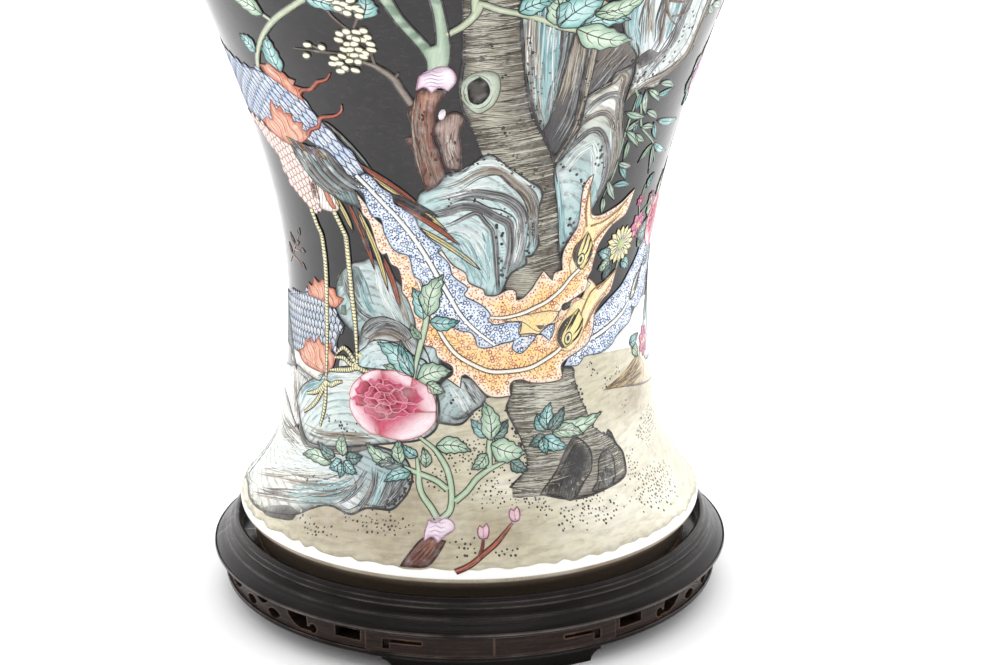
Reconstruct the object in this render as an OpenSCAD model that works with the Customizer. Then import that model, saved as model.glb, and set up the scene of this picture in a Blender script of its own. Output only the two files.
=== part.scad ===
// Porcelain baluster vase on a carved hardwood stand.
// Millimetres, +Z up. The origin is on the floor, under the middle of the stand.
// Angles are measured around Z from the front (-Y), and grow towards +X.

/* [Vase] */
// Height of the vase from its foot ring to its lip
vase_h = 650; // [640:1:680]
// Radius of the spreading foot at its widest
foot_r = 110.6; // [108:0.1:112]
// Height of the widest part of the foot above the foot ring
foot_z = 18.5; // [17:0.5:20]
// Radius of the waist above the foot
waist_r = 84.6; // [80:0.1:88]
// Height of the waist
waist_z = 122; // [110:1:140]
// Radius of the shoulder, the widest part of the vase
shoulder_r = 158; // [150:1:165]
// Height of the shoulder
shoulder_z = 415; // [405:1:425]
// Radius of the neck at its narrowest
neck_r = 64; // [58:1:68]
// Height of the narrowest part of the neck
neck_z = 580; // [575:1:590]
// Radius of the mouth at its lip
mouth_r = 92; // [86:1:98]
// Thickness of the porcelain wall
wall = 6; // [5:0.5:7]
// Outer radius of the unglazed foot ring
foot_ring_r = 103; // [102:0.1:103.5]
// Width of the foot ring where it stands
foot_ring_w = 9; // [7:0.5:11]

/* [Stand top] */
// Radius of the stand's flange, its widest part
flange_r = 124; // [122:0.5:126]
// Outer radius of the raised collar round the foot
collar_r = 114.2; // [114:0.1:115]
// Inner radius of the raised collar
collar_bore_r = 111; // [110.8:0.1:111.2]
// Height of the top of the collar above the floor
collar_top = 36; // [35:0.5:38]
// Height of the seat that the vase stands on
seat_z = 26.5; // [26:0.1:27]
// Height of the underside of the top ring
ring_z = 19.4; // [19:0.1:19.6]

/* [Apron] */
// Outer radius of the openwork between the legs
apron_r = 117.8; // [117:0.1:118.2]
// Outer radius of the three solid leg blocks
block_r = 118.6; // [118.4:0.1:119.4]
// Inner radius of the apron
apron_bore_r = 109; // [108:0.5:110]
// Half of the angle that a leg block covers
block_half = 28.5; // [28:0.5:29]
// Turn of the stand about its axis
leg_turn = 5; // [-30:1:30]

/* [Base] */
// Outer radius of the base ring
base_r = 119; // [118.8:0.1:119.5]
// Height of the feet
foot_h = 7; // [6:0.5:8]
// Thickness of the base ring
base_t = 2.5; // [2:0.5:3]
// Half of the angle that a foot covers
foot_half = 25; // [22:1:26]

/* [Joinery] */
// Diameter of the dowels
dowel_d = 4; // [3:0.5:4.5]
// Diameter of the pins that hold the base ring
pin_d = 2; // [1.5:0.1:2.5]
// Play round dowels, pins and tongues
play = 0.1; // [0.05:0.05:0.2]

/* [Hidden] */
legs = 3;
leg_step = 360 / legs;
base_z = foot_h;
apron_z = base_z + base_t;
apron_h = ring_z - apron_z;
panel_r = 103.6;
panel_t = 6;
panel_tongue = 4;
batten_w = 16;
batten_t = 6;
groove_low = seat_z - 4.5;
groove_high = seat_z - 2;
ring_bore_r = 104;
floor_z = 22;
steps = 14;
lip_r = wall / 2;
foot_recess = 12;
well_r = 22;
collar_edge = 1.6;
cove_r = 3.2;
flange_edge = 1.8;
ring_dowel_r = 114;
ring_dowel_z = 13.5;
ring_dowel_l = 11.5;
ring_dowel_at = 10;
ring_tongue_r = 113.5;
ring_tongue_z = 21.4;
ring_tongue = [14, 6, 2.6];
apron_tongue_r = 113.8;
apron_tongue_z = 11.4;
apron_tongue = [12, 3, 6];
base_pin_r = 113;
base_pin_l = 4;
base_pin_at = [39.5, 80.5];
foot_dowel_r = 112.6;
foot_dowel_z = 2.4;
foot_dowel_l = 9.5;
foot_dowel_at = 17;
square_at = 33;
hook_at = 46;
lens_at = 55.2;
fret_at = 20;
fret_deep = 2.6;
around = 120;
wood = "#2f2725";
inner_wood = "#5a4234";
porcelain = "#3f3d3f";

// Outer profile of the vase as [height, radius, slope] knots, joined by smooth cubics.
outer_knots = [
    [0, foot_ring_r, 0],
    [8, foot_ring_r + 0.8, 0.25],
    [foot_z - 3, foot_r - 0.8, 0.6],
    [foot_z, foot_r, 0],
    [foot_z + 5.5, foot_r - 2, -0.68],
    [foot_z + 20.5, foot_r - 13.4, -0.66],
    [foot_z + 33.5, foot_r - 19.6, -0.2],
    [waist_z, waist_r, 0],
    [shoulder_z, shoulder_r, 0],
    [shoulder_z + 50, shoulder_r - 15, -0.65],
    [shoulder_z + 85, shoulder_r - 44, -1.02],
    [neck_z - 38, neck_r + 12, -0.62],
    [neck_z, neck_r, 0],
    [vase_h - 22, neck_r + 9, 0.6],
    [vase_h - lip_r, mouth_r - lip_r + 1.2, 1.1]
];

function hermite(a, b, t) =
    let (h = b[0] - a[0])
    (2 * t^3 - 3 * t^2 + 1) * a[1] + (t^3 - 2 * t^2 + t) * h * a[2]
    + (3 * t^2 - 2 * t^3) * b[1] + (t^3 - t^2) * h * b[2];

function hermite_slope(a, b, t) =
    let (h = b[0] - a[0])
    (6 * t^2 - 6 * t) * (a[1] - b[1]) / h + (3 * t^2 - 4 * t + 1) * a[2] + (3 * t^2 - 2 * t) * b[2];

// Number of steps on a stretch of the profile: short stretches take fewer.
function stretch_steps(a, b) = max(3, min(steps, round((b[0] - a[0]) / 3)));

// Points of the profile from one knot to another, set in by a distance.
function profile(knots, first, last, inset) = [
    for (i = [first:last - 1])
        let (a = knots[i], b = knots[i + 1], n = stretch_steps(a, b))
        for (k = [0:n - 1])
            let (t = k / n, s = hermite_slope(a, b, t))
            [hermite(a, b, t) - inset * sqrt(1 + s^2), a[0] + t * (b[0] - a[0])],
    let (e = knots[last])
    [e[1] - inset * sqrt(1 + e[2]^2), e[0]]
];

function reversed(list) = [for (i = [len(list) - 1:-1:0]) list[i]];

// Points on an arc, from one angle to another.
function arc(cx, cy, r, from, to, n) = [
    for (i = [0:n]) let (a = from + (to - from) * i / n) [cx + r * cos(a), cy + r * sin(a)]
];

module turned(points) {
    rotate_extrude($fn = around) polygon(points);
}

// A turned ring segment between two angles measured from the front.
module turned_arc(points, from, to) {
    rotate([0, 0, from - 90])
        rotate_extrude(angle = to - from, $fn = around) polygon(points);
}

// Places its children at an angle round the stand, as seen from the front.
module around_at(angle) {
    rotate([0, 0, angle]) children();
}

// Pushes a flat outline, drawn on the face of the stand, inwards from outside.
module carve(angle, depth_from, depth_to) {
    around_at(angle)
        translate([0, -depth_from, 0])
            rotate([90, 0, 0])
                linear_extrude(depth_to - depth_from) children();
}

// ---- vase ----

module vase_body() {
    last = len(outer_knots) - 1;
    inner_first = 6;
    outer = profile(outer_knots, 0, last, 0);
    inner = reversed(profile(outer_knots, inner_first, last, wall));
    turned(concat(
        [[0, foot_recess], [foot_ring_r - foot_ring_w - 4, foot_recess],
         [foot_ring_r - foot_ring_w, foot_recess - 4],
         [foot_ring_r - foot_ring_w + 0.8, 0]],
        outer,
        [[mouth_r, vase_h - 0.6], [mouth_r - 1.4, vase_h], [mouth_r - 4, vase_h - 0.8]],
        inner,
        arc(foot_ring_r - 41, floor_z + well_r, well_r, 0, -90, 6),
        [[0, floor_z - 1]]
    ));
}

module vase() {
    color(porcelain) translate([0, 0, seat_z]) vase_body();
}

// ---- tongues ----

// A loose tongue that stands on its middle, enlarged all round for the slot that takes it.
module tongue(size, extra) {
    translate([-size[0] / 2 - extra, -size[1] / 2 - extra, -extra])
        cube([size[0] + 2 * extra, size[1] + 2 * extra, size[2] + 2 * extra]);
}

// ---- top ring ----

// Section of the top ring: bore, groove for the panel, collar, cove, step, flange, fillet.
function ring_section() = concat(
    [[ring_bore_r, ring_z], [ring_bore_r, groove_low], [panel_r + panel_tongue + 0.4, groove_low],
     [panel_r + panel_tongue + 0.4, groove_high], [ring_bore_r, groove_high],
     [ring_bore_r, seat_z], [collar_bore_r, seat_z]],
    arc(collar_bore_r + collar_edge, collar_top - collar_edge, collar_edge, 180, 0, 8),
    [[collar_r, collar_top - 2.4], [collar_r + 1.8, collar_top - 3.8]],
    arc(collar_r + 5.2, collar_top - 5.2, cove_r, 160, 230, 6),
    [[collar_r + 3.9, collar_top - 8.2], [collar_r + 4.1, collar_top - 8.9]],
    arc(flange_r - 9.5, flange_low() - 4.6, 11.2, 62, 31, 6),
    arc(flange_r - flange_edge, flange_low() + flange_edge, flange_edge, 20, -80, 6),
    [[flange_r - 3.4, flange_low()], [flange_r - 3.4, ring_z]]
);

function flange_low() = ring_z + 1.3;

module ring_dowel_places() {
    for (leg = [0:legs - 1], side = [-ring_dowel_at, ring_dowel_at])
        around_at(leg_turn + leg * leg_step + side)
            translate([0, -ring_dowel_r, ring_dowel_z]) children();
}

module ring_tongue_places() {
    for (side = [0, 180])
        around_at(leg_turn + 90 + side)
            translate([0, -ring_tongue_r, ring_tongue_z]) children();
}

module top_ring_half(from) {
    difference() {
        turned_arc(ring_section(), from, from + 180);
        ring_dowel_places() cylinder(h = ring_dowel_l + play, d = dowel_d + 2 * play, $fn = 24);
        ring_tongue_places() tongue(ring_tongue, play);
    }
}

module top_ring_front() {
    color(wood) top_ring_half(leg_turn - 90);
}

module top_ring_back() {
    color(wood) top_ring_half(leg_turn + 90);
}

module top_ring_tongues() {
    color(inner_wood) ring_tongue_places() tongue(ring_tongue, 0);
}

// ---- panel and batten ----

module batten_dovetail(extra) {
    rotate([90, 0, 0])
        linear_extrude(2 * (panel_r - 6), center = true)
            polygon([[-5 - extra, -0.01], [5 + extra, -0.01], [6.2 + extra, 2 + extra],
                     [-6.2 - extra, 2 + extra]]);
}

module centre_panel() {
    color(inner_wood) difference() {
        turned([[0, seat_z - panel_t], [panel_r, seat_z - panel_t], [panel_r, groove_low + 0.2],
                [panel_r + panel_tongue, groove_low + 0.2],
                [panel_r + panel_tongue, groove_high - 0.2], [panel_r, groove_high - 0.2],
                [panel_r, seat_z], [0, seat_z]]);
        around_at(leg_turn) translate([0, 0, seat_z - panel_t]) batten_dovetail(play);
    }
}

module panel_batten() {
    color(inner_wood) around_at(leg_turn) translate([0, 0, seat_z - panel_t]) {
        intersection() {
            translate([-batten_w / 2, -ring_bore_r, -batten_t])
                cube([batten_w, 2 * ring_bore_r, batten_t]);
            translate([0, 0, -batten_t])
                cylinder(h = batten_t, r = ring_bore_r - 4 * play, $fn = around);
        }
        batten_dovetail(0);
    }
}

// ---- apron ----

module lens(long, high) {
    r = (long^2 + high^2) / (4 * high);
    intersection() {
        translate([0, r - high / 2]) circle(r, $fn = 64);
        translate([0, high / 2 - r]) circle(r, $fn = 64);
    }
}

// Openings of one half of the openwork, drawn from the leg block outwards.
module square_opening() {
    translate([-6.4, apron_z + 3.4]) square([13, apron_h]);
}

module hook_opening() {
    polygon([[-3.2, ring_z + 1], [9.4, ring_z + 1], [8.6, 15.8], [4.4, 12.2], [0, 10.8],
             [-7.4, 11.2], [-7.4, 13.4], [-4.2, 13]]);
    translate([-7.4, 12.7]) circle(2.2, $fn = 24);
}

module centre_opening() {
    polygon([[-6.4, ring_z + 1], [6.4, ring_z + 1], [4.2, 15.2], [0, 13.8], [-4.2, 15.2]]);
}

// Key-fret groove of a leg block: a bar with a leg at its outer end.
module fret_outline() {
    polygon([[-9, 14.6], [6, 14.6], [6, 11.4], [9.2, 11.4], [9.2, 15.4], [8.4, 16.3], [-9, 16.3]]);
}

// Cuts on one side of a leg: side is 1 towards +X, or -1.
module half_openwork(side) {
    inside = apron_bore_r - 9;
    outside = block_r + 4;
    carve(side * square_at, inside, outside) scale([side, 1]) square_opening();
    carve(side * hook_at, inside, outside) scale([side, 1]) hook_opening();
    carve(side * lens_at, inside, outside) translate([0, 12.3]) lens(9.6, 4.4);
    carve(side * fret_at, block_r - fret_deep, outside) scale([side, 1]) fret_outline();
}

module apron_segment(first_leg) {
    from = leg_turn + first_leg * leg_step;
    to = from + leg_step;
    block = [[apron_bore_r, apron_z], [block_r, apron_z], [block_r, ring_z], [apron_bore_r, ring_z]];
    relief = [[apron_r, apron_z - 1], [block_r + 1, apron_z - 1],
              [block_r + 1, ring_z + 1], [apron_r, ring_z + 1]];
    difference() {
        turned_arc(block, from, to);
        turned_arc(relief, from + block_half, to - block_half);
        around_at(from) half_openwork(1);
        around_at(to) half_openwork(-1);
        carve(from + leg_step / 2, apron_bore_r - 9, block_r + 4) centre_opening();
        ring_dowel_places() cylinder(h = ring_dowel_l + play, d = dowel_d + 2 * play, $fn = 24);
        foot_dowel_places() cylinder(h = foot_dowel_l + play, d = dowel_d + 2 * play, $fn = 24);
        base_pin_places() cylinder(h = base_pin_l + play, d = pin_d + 2 * play, $fn = 24);
        apron_tongue_places() tongue(apron_tongue, play);
    }
}

module apron_tongue_places() {
    for (leg = [0:legs - 1])
        around_at(leg_turn + leg * leg_step)
            translate([0, -apron_tongue_r, apron_tongue_z]) children();
}

module apron_a() {
    color(wood) apron_segment(0);
}

module apron_b() {
    color(wood) apron_segment(1);
}

module apron_c() {
    color(wood) apron_segment(2);
}

module apron_tongues() {
    color(inner_wood) apron_tongue_places() tongue(apron_tongue, 0);
}

// ---- base ring ----

module base_segment(index) {
    from = leg_turn + 60 + index * leg_step;
    section = concat(
        [[apron_bore_r - 1, base_z], [base_r - 0.8, base_z]],
        arc(base_r - 0.9, base_z + 0.9, 0.9, -80, 20, 4),
        [[base_r, apron_z], [apron_bore_r - 1, apron_z]]);
    difference() {
        turned_arc(section, from, from + leg_step);
        foot_dowel_places() cylinder(h = foot_dowel_l, d = dowel_d + 2 * play, $fn = 24);
        base_pin_places() translate([0, 0, -play])
            cylinder(h = base_pin_l, d = pin_d + 2 * play, $fn = 24);
    }
}

module base_ring_a() {
    color(wood) base_segment(0);
}

module base_ring_b() {
    color(wood) base_segment(1);
}

module base_ring_c() {
    color(wood) base_segment(2);
}

module base_pin_places() {
    for (leg = [0:legs - 1], side = base_pin_at)
        around_at(leg_turn + leg * leg_step + side)
            translate([0, -base_pin_r, base_z + 0.6]) children();
}

module base_pins() {
    color(inner_wood) base_pin_places() cylinder(h = base_pin_l, d = pin_d, $fn = 24);
}

// ---- feet ----

module foot(leg) {
    angle = leg_turn + leg * leg_step;
    section = [[107.5, 0], [116.6, 0], [117.4, foot_h], [107, foot_h]];
    difference() {
        turned_arc(section, angle - foot_half, angle + foot_half);
        for (side = [-1, 1])
            around_at(angle + side * foot_half)
                translate([0, -130, 0]) rotate([-90, 0, 0]) cylinder(h = 30, r = 5, $fn = 48);
        foot_dowel_places() cylinder(h = foot_dowel_l, d = dowel_d + 2 * play, $fn = 24);
    }
}

module foot_dowel_places() {
    for (leg = [0:legs - 1], side = [-foot_dowel_at, foot_dowel_at])
        around_at(leg_turn + leg * leg_step + side)
            translate([0, -foot_dowel_r, foot_dowel_z]) children();
}

module foot_a() {
    color(wood) foot(0);
}

module foot_b() {
    color(wood) foot(1);
}

module foot_c() {
    color(wood) foot(2);
}

module ring_dowels() {
    color(inner_wood) ring_dowel_places() cylinder(h = ring_dowel_l, d = dowel_d, $fn = 24);
}

module foot_dowels() {
    color(inner_wood) foot_dowel_places() cylinder(h = foot_dowel_l, d = dowel_d, $fn = 24);
}

vase();
top_ring_front();
top_ring_back();
top_ring_tongues();
centre_panel();
panel_batten();
apron_a();
apron_b();
apron_c();
apron_tongues();
base_ring_a();
base_ring_b();
base_ring_c();
foot_a();
foot_b();
foot_c();
ring_dowels();
foot_dowels();
base_pins();
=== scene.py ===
"""Porcelain baluster vase with an enamel painting, on a carved hardwood stand.

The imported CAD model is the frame. A finer lathe of the same profile stands for the vase's body,
and its painting is thin raised enamel, made as closed pieces. The stand keeps its CAD shapes.
A place on the painting is (angle, height): degrees from the front, growing towards +X, and
millimetres above the foot of the vase.
"""

import math
import random

import bpy
import numpy as np
from mathutils import Matrix, Vector
from mathutils.geometry import delaunay_2d_cdt


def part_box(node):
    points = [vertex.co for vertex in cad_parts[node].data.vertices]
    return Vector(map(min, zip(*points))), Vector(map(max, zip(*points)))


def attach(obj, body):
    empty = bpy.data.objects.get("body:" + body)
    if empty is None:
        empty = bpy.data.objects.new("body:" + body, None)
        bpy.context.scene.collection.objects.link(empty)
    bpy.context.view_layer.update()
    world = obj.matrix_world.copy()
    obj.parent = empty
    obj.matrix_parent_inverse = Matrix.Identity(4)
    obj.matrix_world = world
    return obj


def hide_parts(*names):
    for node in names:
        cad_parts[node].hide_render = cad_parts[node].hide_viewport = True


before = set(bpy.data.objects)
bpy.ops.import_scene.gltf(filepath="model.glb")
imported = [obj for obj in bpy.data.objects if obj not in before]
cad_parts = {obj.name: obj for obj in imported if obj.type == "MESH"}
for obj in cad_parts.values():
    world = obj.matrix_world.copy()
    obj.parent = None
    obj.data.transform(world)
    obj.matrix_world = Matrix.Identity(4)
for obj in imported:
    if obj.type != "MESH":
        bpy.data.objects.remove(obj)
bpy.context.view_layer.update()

MM = 0.001
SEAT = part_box("vase")[0].z / MM
VASE_H = (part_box("vase")[1].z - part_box("vase")[0].z) / MM
WALL = 6.0

# Outer profile of the vase: height, radius and slope at each knot, in mm.
KNOTS = (
    (0, 103, 0), (8, 103.8, 0.25), (15.5, 109.8, 0.6), (18.5, 110.6, 0), (24, 108.6, -0.68),
    (39, 97.2, -0.66), (52, 91, -0.2), (122, 84.6, 0), (415, 158, 0), (465, 143, -0.65),
    (500, 114, -1.02), (542, 76, -0.62), (580, 64, 0), (628, 73, 0.6), (647, 90.2, 1.1),
)
BISCUIT_TOP = 16.5    # the unglazed foot ends here
BAND_TOP = 24.0       # the white foot band ends here
INNER_FIRST = 6       # the inside follows the outer profile from this knot up
MM_PER_DEGREE = 1.5   # along the waist, for spacing points on the painting


# ---- profile ----

def profile_stretch(first, last, step, inset=0.0):
    """Points (radius, height) of the profile between two knots, set in by a distance."""
    points = []
    for (z0, r0, s0), (z1, r1, s1) in zip(KNOTS[first:last], KNOTS[first + 1:last + 1]):
        h = z1 - z0
        count = max(2, round(h / step))
        for i in range(count):
            t = i / count
            r = ((2 * t**3 - 3 * t**2 + 1) * r0 + (t**3 - 2 * t**2 + t) * h * s0
                 + (3 * t**2 - 2 * t**3) * r1 + (t**3 - t**2) * h * s1)
            slope = ((6 * t**2 - 6 * t) * (r0 - r1) / h + (3 * t**2 - 4 * t + 1) * s0
                     + (3 * t**2 - 2 * t) * s1)
            points.append((r - inset * math.hypot(1, slope), z0 + t * h))
    z, r, slope = KNOTS[last]
    points.append((r - inset * math.hypot(1, slope), z))
    return points


TABLE = np.array(profile_stretch(0, len(KNOTS) - 1, 0.25))


def on_vase(angle, height, lift):
    """Points of the frame, in metres, at angles, heights and lifts above the glaze."""
    angle, height, lift = np.broadcast_arrays(angle, height, lift)
    radius = np.interp(height, TABLE[:, 1], TABLE[:, 0]) + lift
    a = np.radians(angle)
    return np.stack([radius * np.sin(a), -radius * np.cos(a), height + SEAT], -1) * MM


def linear(colour):
    """A colour of 0-255 steps, as linear light."""
    c = np.asarray(colour, float) / 255
    return np.where(c <= 0.04045, c / 12.92, ((c + 0.055) / 1.055) ** 2.4)


# ---- meshes ----

def make_object(name, verts, faces, body):
    """A smooth mesh that rides on a CAD body."""
    mesh = bpy.data.meshes.new(name)
    mesh.from_pydata([tuple(v) for v in verts], [], faces)
    mesh.validate()
    mesh.polygons.foreach_set("use_smooth", [True] * len(mesh.polygons))
    obj = bpy.data.objects.new(name, mesh)
    bpy.context.scene.collection.objects.link(obj)
    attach(obj, body)
    return obj


def lathe(name, rings, segments, body):
    """A turned solid: rings are (radius, height) in mm from the axis round to the axis."""
    a = np.linspace(0, 2 * math.pi, segments, endpoint=False)
    verts = [(0, 0, rings[0][1] * MM), (0, 0, rings[-1][1] * MM)]
    for r, z in rings[1:-1]:
        verts.extend(zip(r * MM * np.sin(a), -r * MM * np.cos(a), np.full(segments, z * MM)))
    faces = []
    last = len(rings) - 3
    for j in range(segments):
        k = (j + 1) % segments
        faces.append((0, 2 + k, 2 + j))
        for i in range(last):
            low, high = 2 + i * segments, 2 + (i + 1) * segments
            faces.append((low + j, low + k, high + k, high + j))
        top = 2 + last * segments
        faces.append((1, top + j, top + k))
    return make_object(name, verts, faces, body)


# ---- shader helpers ----

class Shader:
    """A node material, with short calls for the nodes it needs."""

    def __init__(self, name):
        self.material = bpy.data.materials.new(name)
        self.material.use_nodes = True
        self.tree = self.material.node_tree
        self.bsdf = self.tree.nodes["Principled BSDF"]

    def node(self, kind, inputs=(), **settings):
        n = self.tree.nodes.new(kind)
        for key, value in settings.items():
            setattr(n, key, value)
        for key, value in dict(inputs).items():
            self.put(n.inputs[key], value)
        return n

    def put(self, socket, value):
        if isinstance(value, bpy.types.NodeSocket):
            self.tree.links.new(value, socket)
        elif hasattr(value, "__len__") and socket.type == "RGBA":
            socket.default_value = (*value[:3], 1)
        else:
            socket.default_value = value

    def set(self, **values):
        for key, value in values.items():
            self.put(self.bsdf.inputs[key.replace("_", " ")], value)

    def coords(self, scale=(1, 1, 1)):
        """Object coordinates in metres, scaled."""
        at = self.node("ShaderNodeTexCoord").outputs["Object"]
        return self.node("ShaderNodeVectorMath", {0: at, 1: scale}, operation="MULTIPLY").outputs[0]

    def flow(self, scale=(1, 1, 1)):
        """The piece's own brush coordinates in mm, scaled."""
        at = self.node("ShaderNodeAttribute", attribute_name="flow").outputs["Vector"]
        return self.node("ShaderNodeVectorMath", {0: at, 1: scale}, operation="MULTIPLY").outputs[0]

    def noise(self, vector, scale, detail=3.0, rough=0.55, distort=0.0):
        return self.node("ShaderNodeTexNoise", {
            "Vector": vector, "Scale": scale, "Detail": detail, "Roughness": rough,
            "Distortion": distort}).outputs["Fac"]

    def ramp(self, value, low, high, out_low=0.0, out_high=1.0):
        return self.node("ShaderNodeMapRange", {
            "Value": value, "From Min": low, "From Max": high,
            "To Min": out_low, "To Max": out_high}).outputs["Result"]

    def mix(self, fac, a, b, blend="MIX"):
        n = self.node("ShaderNodeMix", data_type="RGBA", blend_type=blend)
        colours = [socket for socket in n.inputs if socket.type == "RGBA"]
        self.put(n.inputs[0], fac)
        self.put(colours[0], a)
        self.put(colours[1], b)
        return [socket for socket in n.outputs if socket.type == "RGBA"][0]

    def math(self, operation, a, b):
        return self.node("ShaderNodeMath", {0: a, 1: b}, operation=operation).outputs[0]

    def bump(self, height, strength, distance):
        self.put(self.bsdf.inputs["Normal"], self.node("ShaderNodeBump", {
            "Height": height, "Strength": strength, "Distance": distance}).outputs["Normal"])


def paint(material, obj):
    """Makes a material the only one of an object."""
    obj.data.materials.clear()
    obj.data.materials.append(material)


# ---- materials ----

def black_glaze():
    """Charcoal glaze over white porcelain, mottled by the brush, white above the foot."""
    m = Shader("black_glaze")
    at = m.coords()
    height = m.node("ShaderNodeSeparateXYZ", {0: at}).outputs["Z"]
    cloud = m.noise(m.coords((1, 1, 1.6)), 60, 6, 0.68)
    fine = m.noise(m.coords((1, 1, 3)), 260, 3, 0.6)
    black = m.mix(m.ramp(cloud, 0.35, 0.7), linear((18, 16, 20)), linear((34, 30, 33)))
    black = m.mix(m.ramp(fine, 0.5, 0.8, 0, 0.5), black, linear((62, 54, 50)))
    ragged = m.math("ADD", height, m.ramp(m.noise(at, 130, 3), 0.3, 0.7, -0.0012, 0.0012))
    edge = (SEAT + BAND_TOP) * MM
    colour = m.mix(m.ramp(ragged, edge - 0.0006, edge + 0.0006), linear((252, 251, 248)), black)
    m.set(Base_Color=colour, Roughness=m.ramp(cloud, 0.3, 0.7, 0.09, 0.2))
    m.bsdf.inputs["Specular IOR Level"].default_value = 0.5
    m.bump(m.math("ADD", cloud, m.math("MULTIPLY", fine, 0.2)), 0.25, 0.0006)
    return m.material


def white_glaze():
    """Clear glaze over white porcelain, with faint grey clouds and pinholes."""
    m = Shader("white_glaze")
    cloud = m.noise(m.coords(), 30, 4)
    pin = m.noise(m.coords(), 900, 2)
    colour = m.mix(m.ramp(cloud, 0.3, 0.75), linear((248, 247, 243)), linear((236, 236, 232)))
    colour = m.mix(m.ramp(pin, 0.72, 0.8), colour, linear((176, 166, 146)))
    m.set(Base_Color=colour, Roughness=m.ramp(cloud, 0.3, 0.7, 0.1, 0.2))
    m.bump(cloud, 0.2, 0.0006)
    return m.material


def biscuit():
    """Unglazed foot ring: grey-brown sandy body with firing stains, and painted shade on its lower part
    where it sits down in the stand.
    """
    m = Shader("biscuit")
    grain = m.noise(m.coords(), 1400, 3)
    stain = m.noise(m.coords((1, 1, 4)), 60, 4)
    colour = m.mix(m.ramp(stain, 0.35, 0.7), linear((198, 187, 170)), linear((156, 138, 116)))
    colour = m.mix(m.ramp(grain, 0.35, 0.7, 0, 0.4), colour, linear((96, 84, 70)))
    # Painted shade: below 15.4 mm the foot turns dark brown, for the shaded gap inside the stand's recess.
    height = m.node("ShaderNodeSeparateXYZ", {0: m.coords()}).outputs["Z"]
    edge = (SEAT + 15.4) * MM
    colour = m.mix(m.ramp(height, edge, edge - 0.0012), colour, linear((84, 70, 56)))
    m.set(Base_Color=colour, Roughness=m.ramp(grain, 0.3, 0.7, 0.7, 0.95))
    m.bump(grain, 0.5, 0.0004)
    return m.material


def hatch_lines(m, pitch):
    """Broken dark lines along the flow, a pitch apart in mm."""
    lines = m.node("ShaderNodeTexWave",
                   {"Vector": m.flow((0.12, 1, 0.3)), "Scale": 0.314 / pitch, "Distortion": 2.6,
                    "Detail": 3, "Detail Scale": 1.4, "Detail Roughness": 0.6}, wave_type="BANDS",
                   bands_direction="Y").outputs["Fac"]
    broken = m.ramp(m.noise(m.flow((0.25, 0.9, 1)), 1, 3), 0.38, 0.58)
    return m.math("MULTIPLY", m.ramp(lines, 0.4, 0.1), broken)


def enamel(name, streak=(0.35, 1.6), dark=0.35, hatch=0.0, pitch=1.0, speck=0.0, rough=0.2):
    """Overglaze enamel. Its tint comes from the piece; brush streaks and hatching follow the flow."""
    m = Shader(name)
    tint = m.node("ShaderNodeAttribute", attribute_name="tint").outputs["Color"]
    brush = m.noise(m.flow((streak[0], streak[1], 1)), 1, 4, 0.6, 0.4)
    wash = m.noise(m.coords(), 120, 4, 0.6)
    shade = m.mix(1.0, tint, linear((150, 146, 140)), "MULTIPLY")
    colour = m.mix(m.ramp(brush, 0.42, 0.72, 0, dark), tint, shade)
    colour = m.mix(m.ramp(wash, 0.5, 0.75, 0, 0.35), colour, m.mix(0.5, tint, (1, 1, 1)))
    relief = brush
    if hatch:
        ink = hatch_lines(m, pitch)
        colour = m.mix(m.math("MULTIPLY", ink, hatch), colour,
                       m.mix(1.0, tint, linear((92, 86, 84)), "MULTIPLY"))
        relief = ink
    if speck:
        dots = m.noise(m.flow((1.1, 1.1, 1)), 1.5, 2, 0.7)
        colour = m.mix(m.ramp(dots, 0.66, 0.74, 0, speck), colour, linear((96, 84, 66)))
    m.set(Base_Color=colour, Roughness=m.ramp(wash, 0.3, 0.7, rough - 0.06, rough + 0.1))
    m.bump(relief, 0.25, 0.00025)
    return m.material


def rock_enamel(name, dark, teal, pitch):
    """Rock wash: pale teal and white, with broad charcoal strokes and fine lines along the folds."""
    m = Shader(name)
    tint = m.node("ShaderNodeAttribute", attribute_name="tint").outputs["Color"]
    cloud = m.noise(m.coords(), 34, 3, 0.5)
    broad = m.noise(m.flow((0.045, 0.3, 1)), 1, 5, 0.62, 0.7)
    fine = m.noise(m.flow((0.16, 1.5, 1)), 1, 4, 0.65, 0.3)
    edge = m.noise(m.coords(), 210, 3, 0.6)
    colour = m.mix(m.ramp(cloud, 0.5, 0.62, 0, teal), tint,
                   m.mix(1.0, tint, linear((168, 222, 224)), "MULTIPLY"))
    colour = m.mix(m.ramp(cloud, 0.46, 0.34, 0, 0.7), colour, m.mix(0.75, tint, (1, 1, 1)))
    warm = m.mix(1.0, tint, linear((196, 178, 150)), "MULTIPLY")
    colour = m.mix(m.ramp(fine, 0.52, 0.7, 0, 0.45), colour, warm)
    stroke = m.math("MULTIPLY", m.ramp(broad, 0.52, 0.66), m.ramp(fine, 0.3, 0.55, 0.35, 1))
    stroke = m.math("MULTIPLY", stroke, m.ramp(edge, 0.25, 0.55, 0.6, 1))
    colour = m.mix(m.math("MULTIPLY", stroke, dark), colour, linear((58, 54, 56)))
    ink = hatch_lines(m, pitch)
    colour = m.mix(m.math("MULTIPLY", ink, 0.55), colour, linear((84, 78, 76)))
    m.set(Base_Color=colour, Roughness=m.ramp(edge, 0.3, 0.7, 0.14, 0.3))
    m.bump(m.math("ADD", stroke, ink), 0.2, 0.0002)
    return m.material


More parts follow.
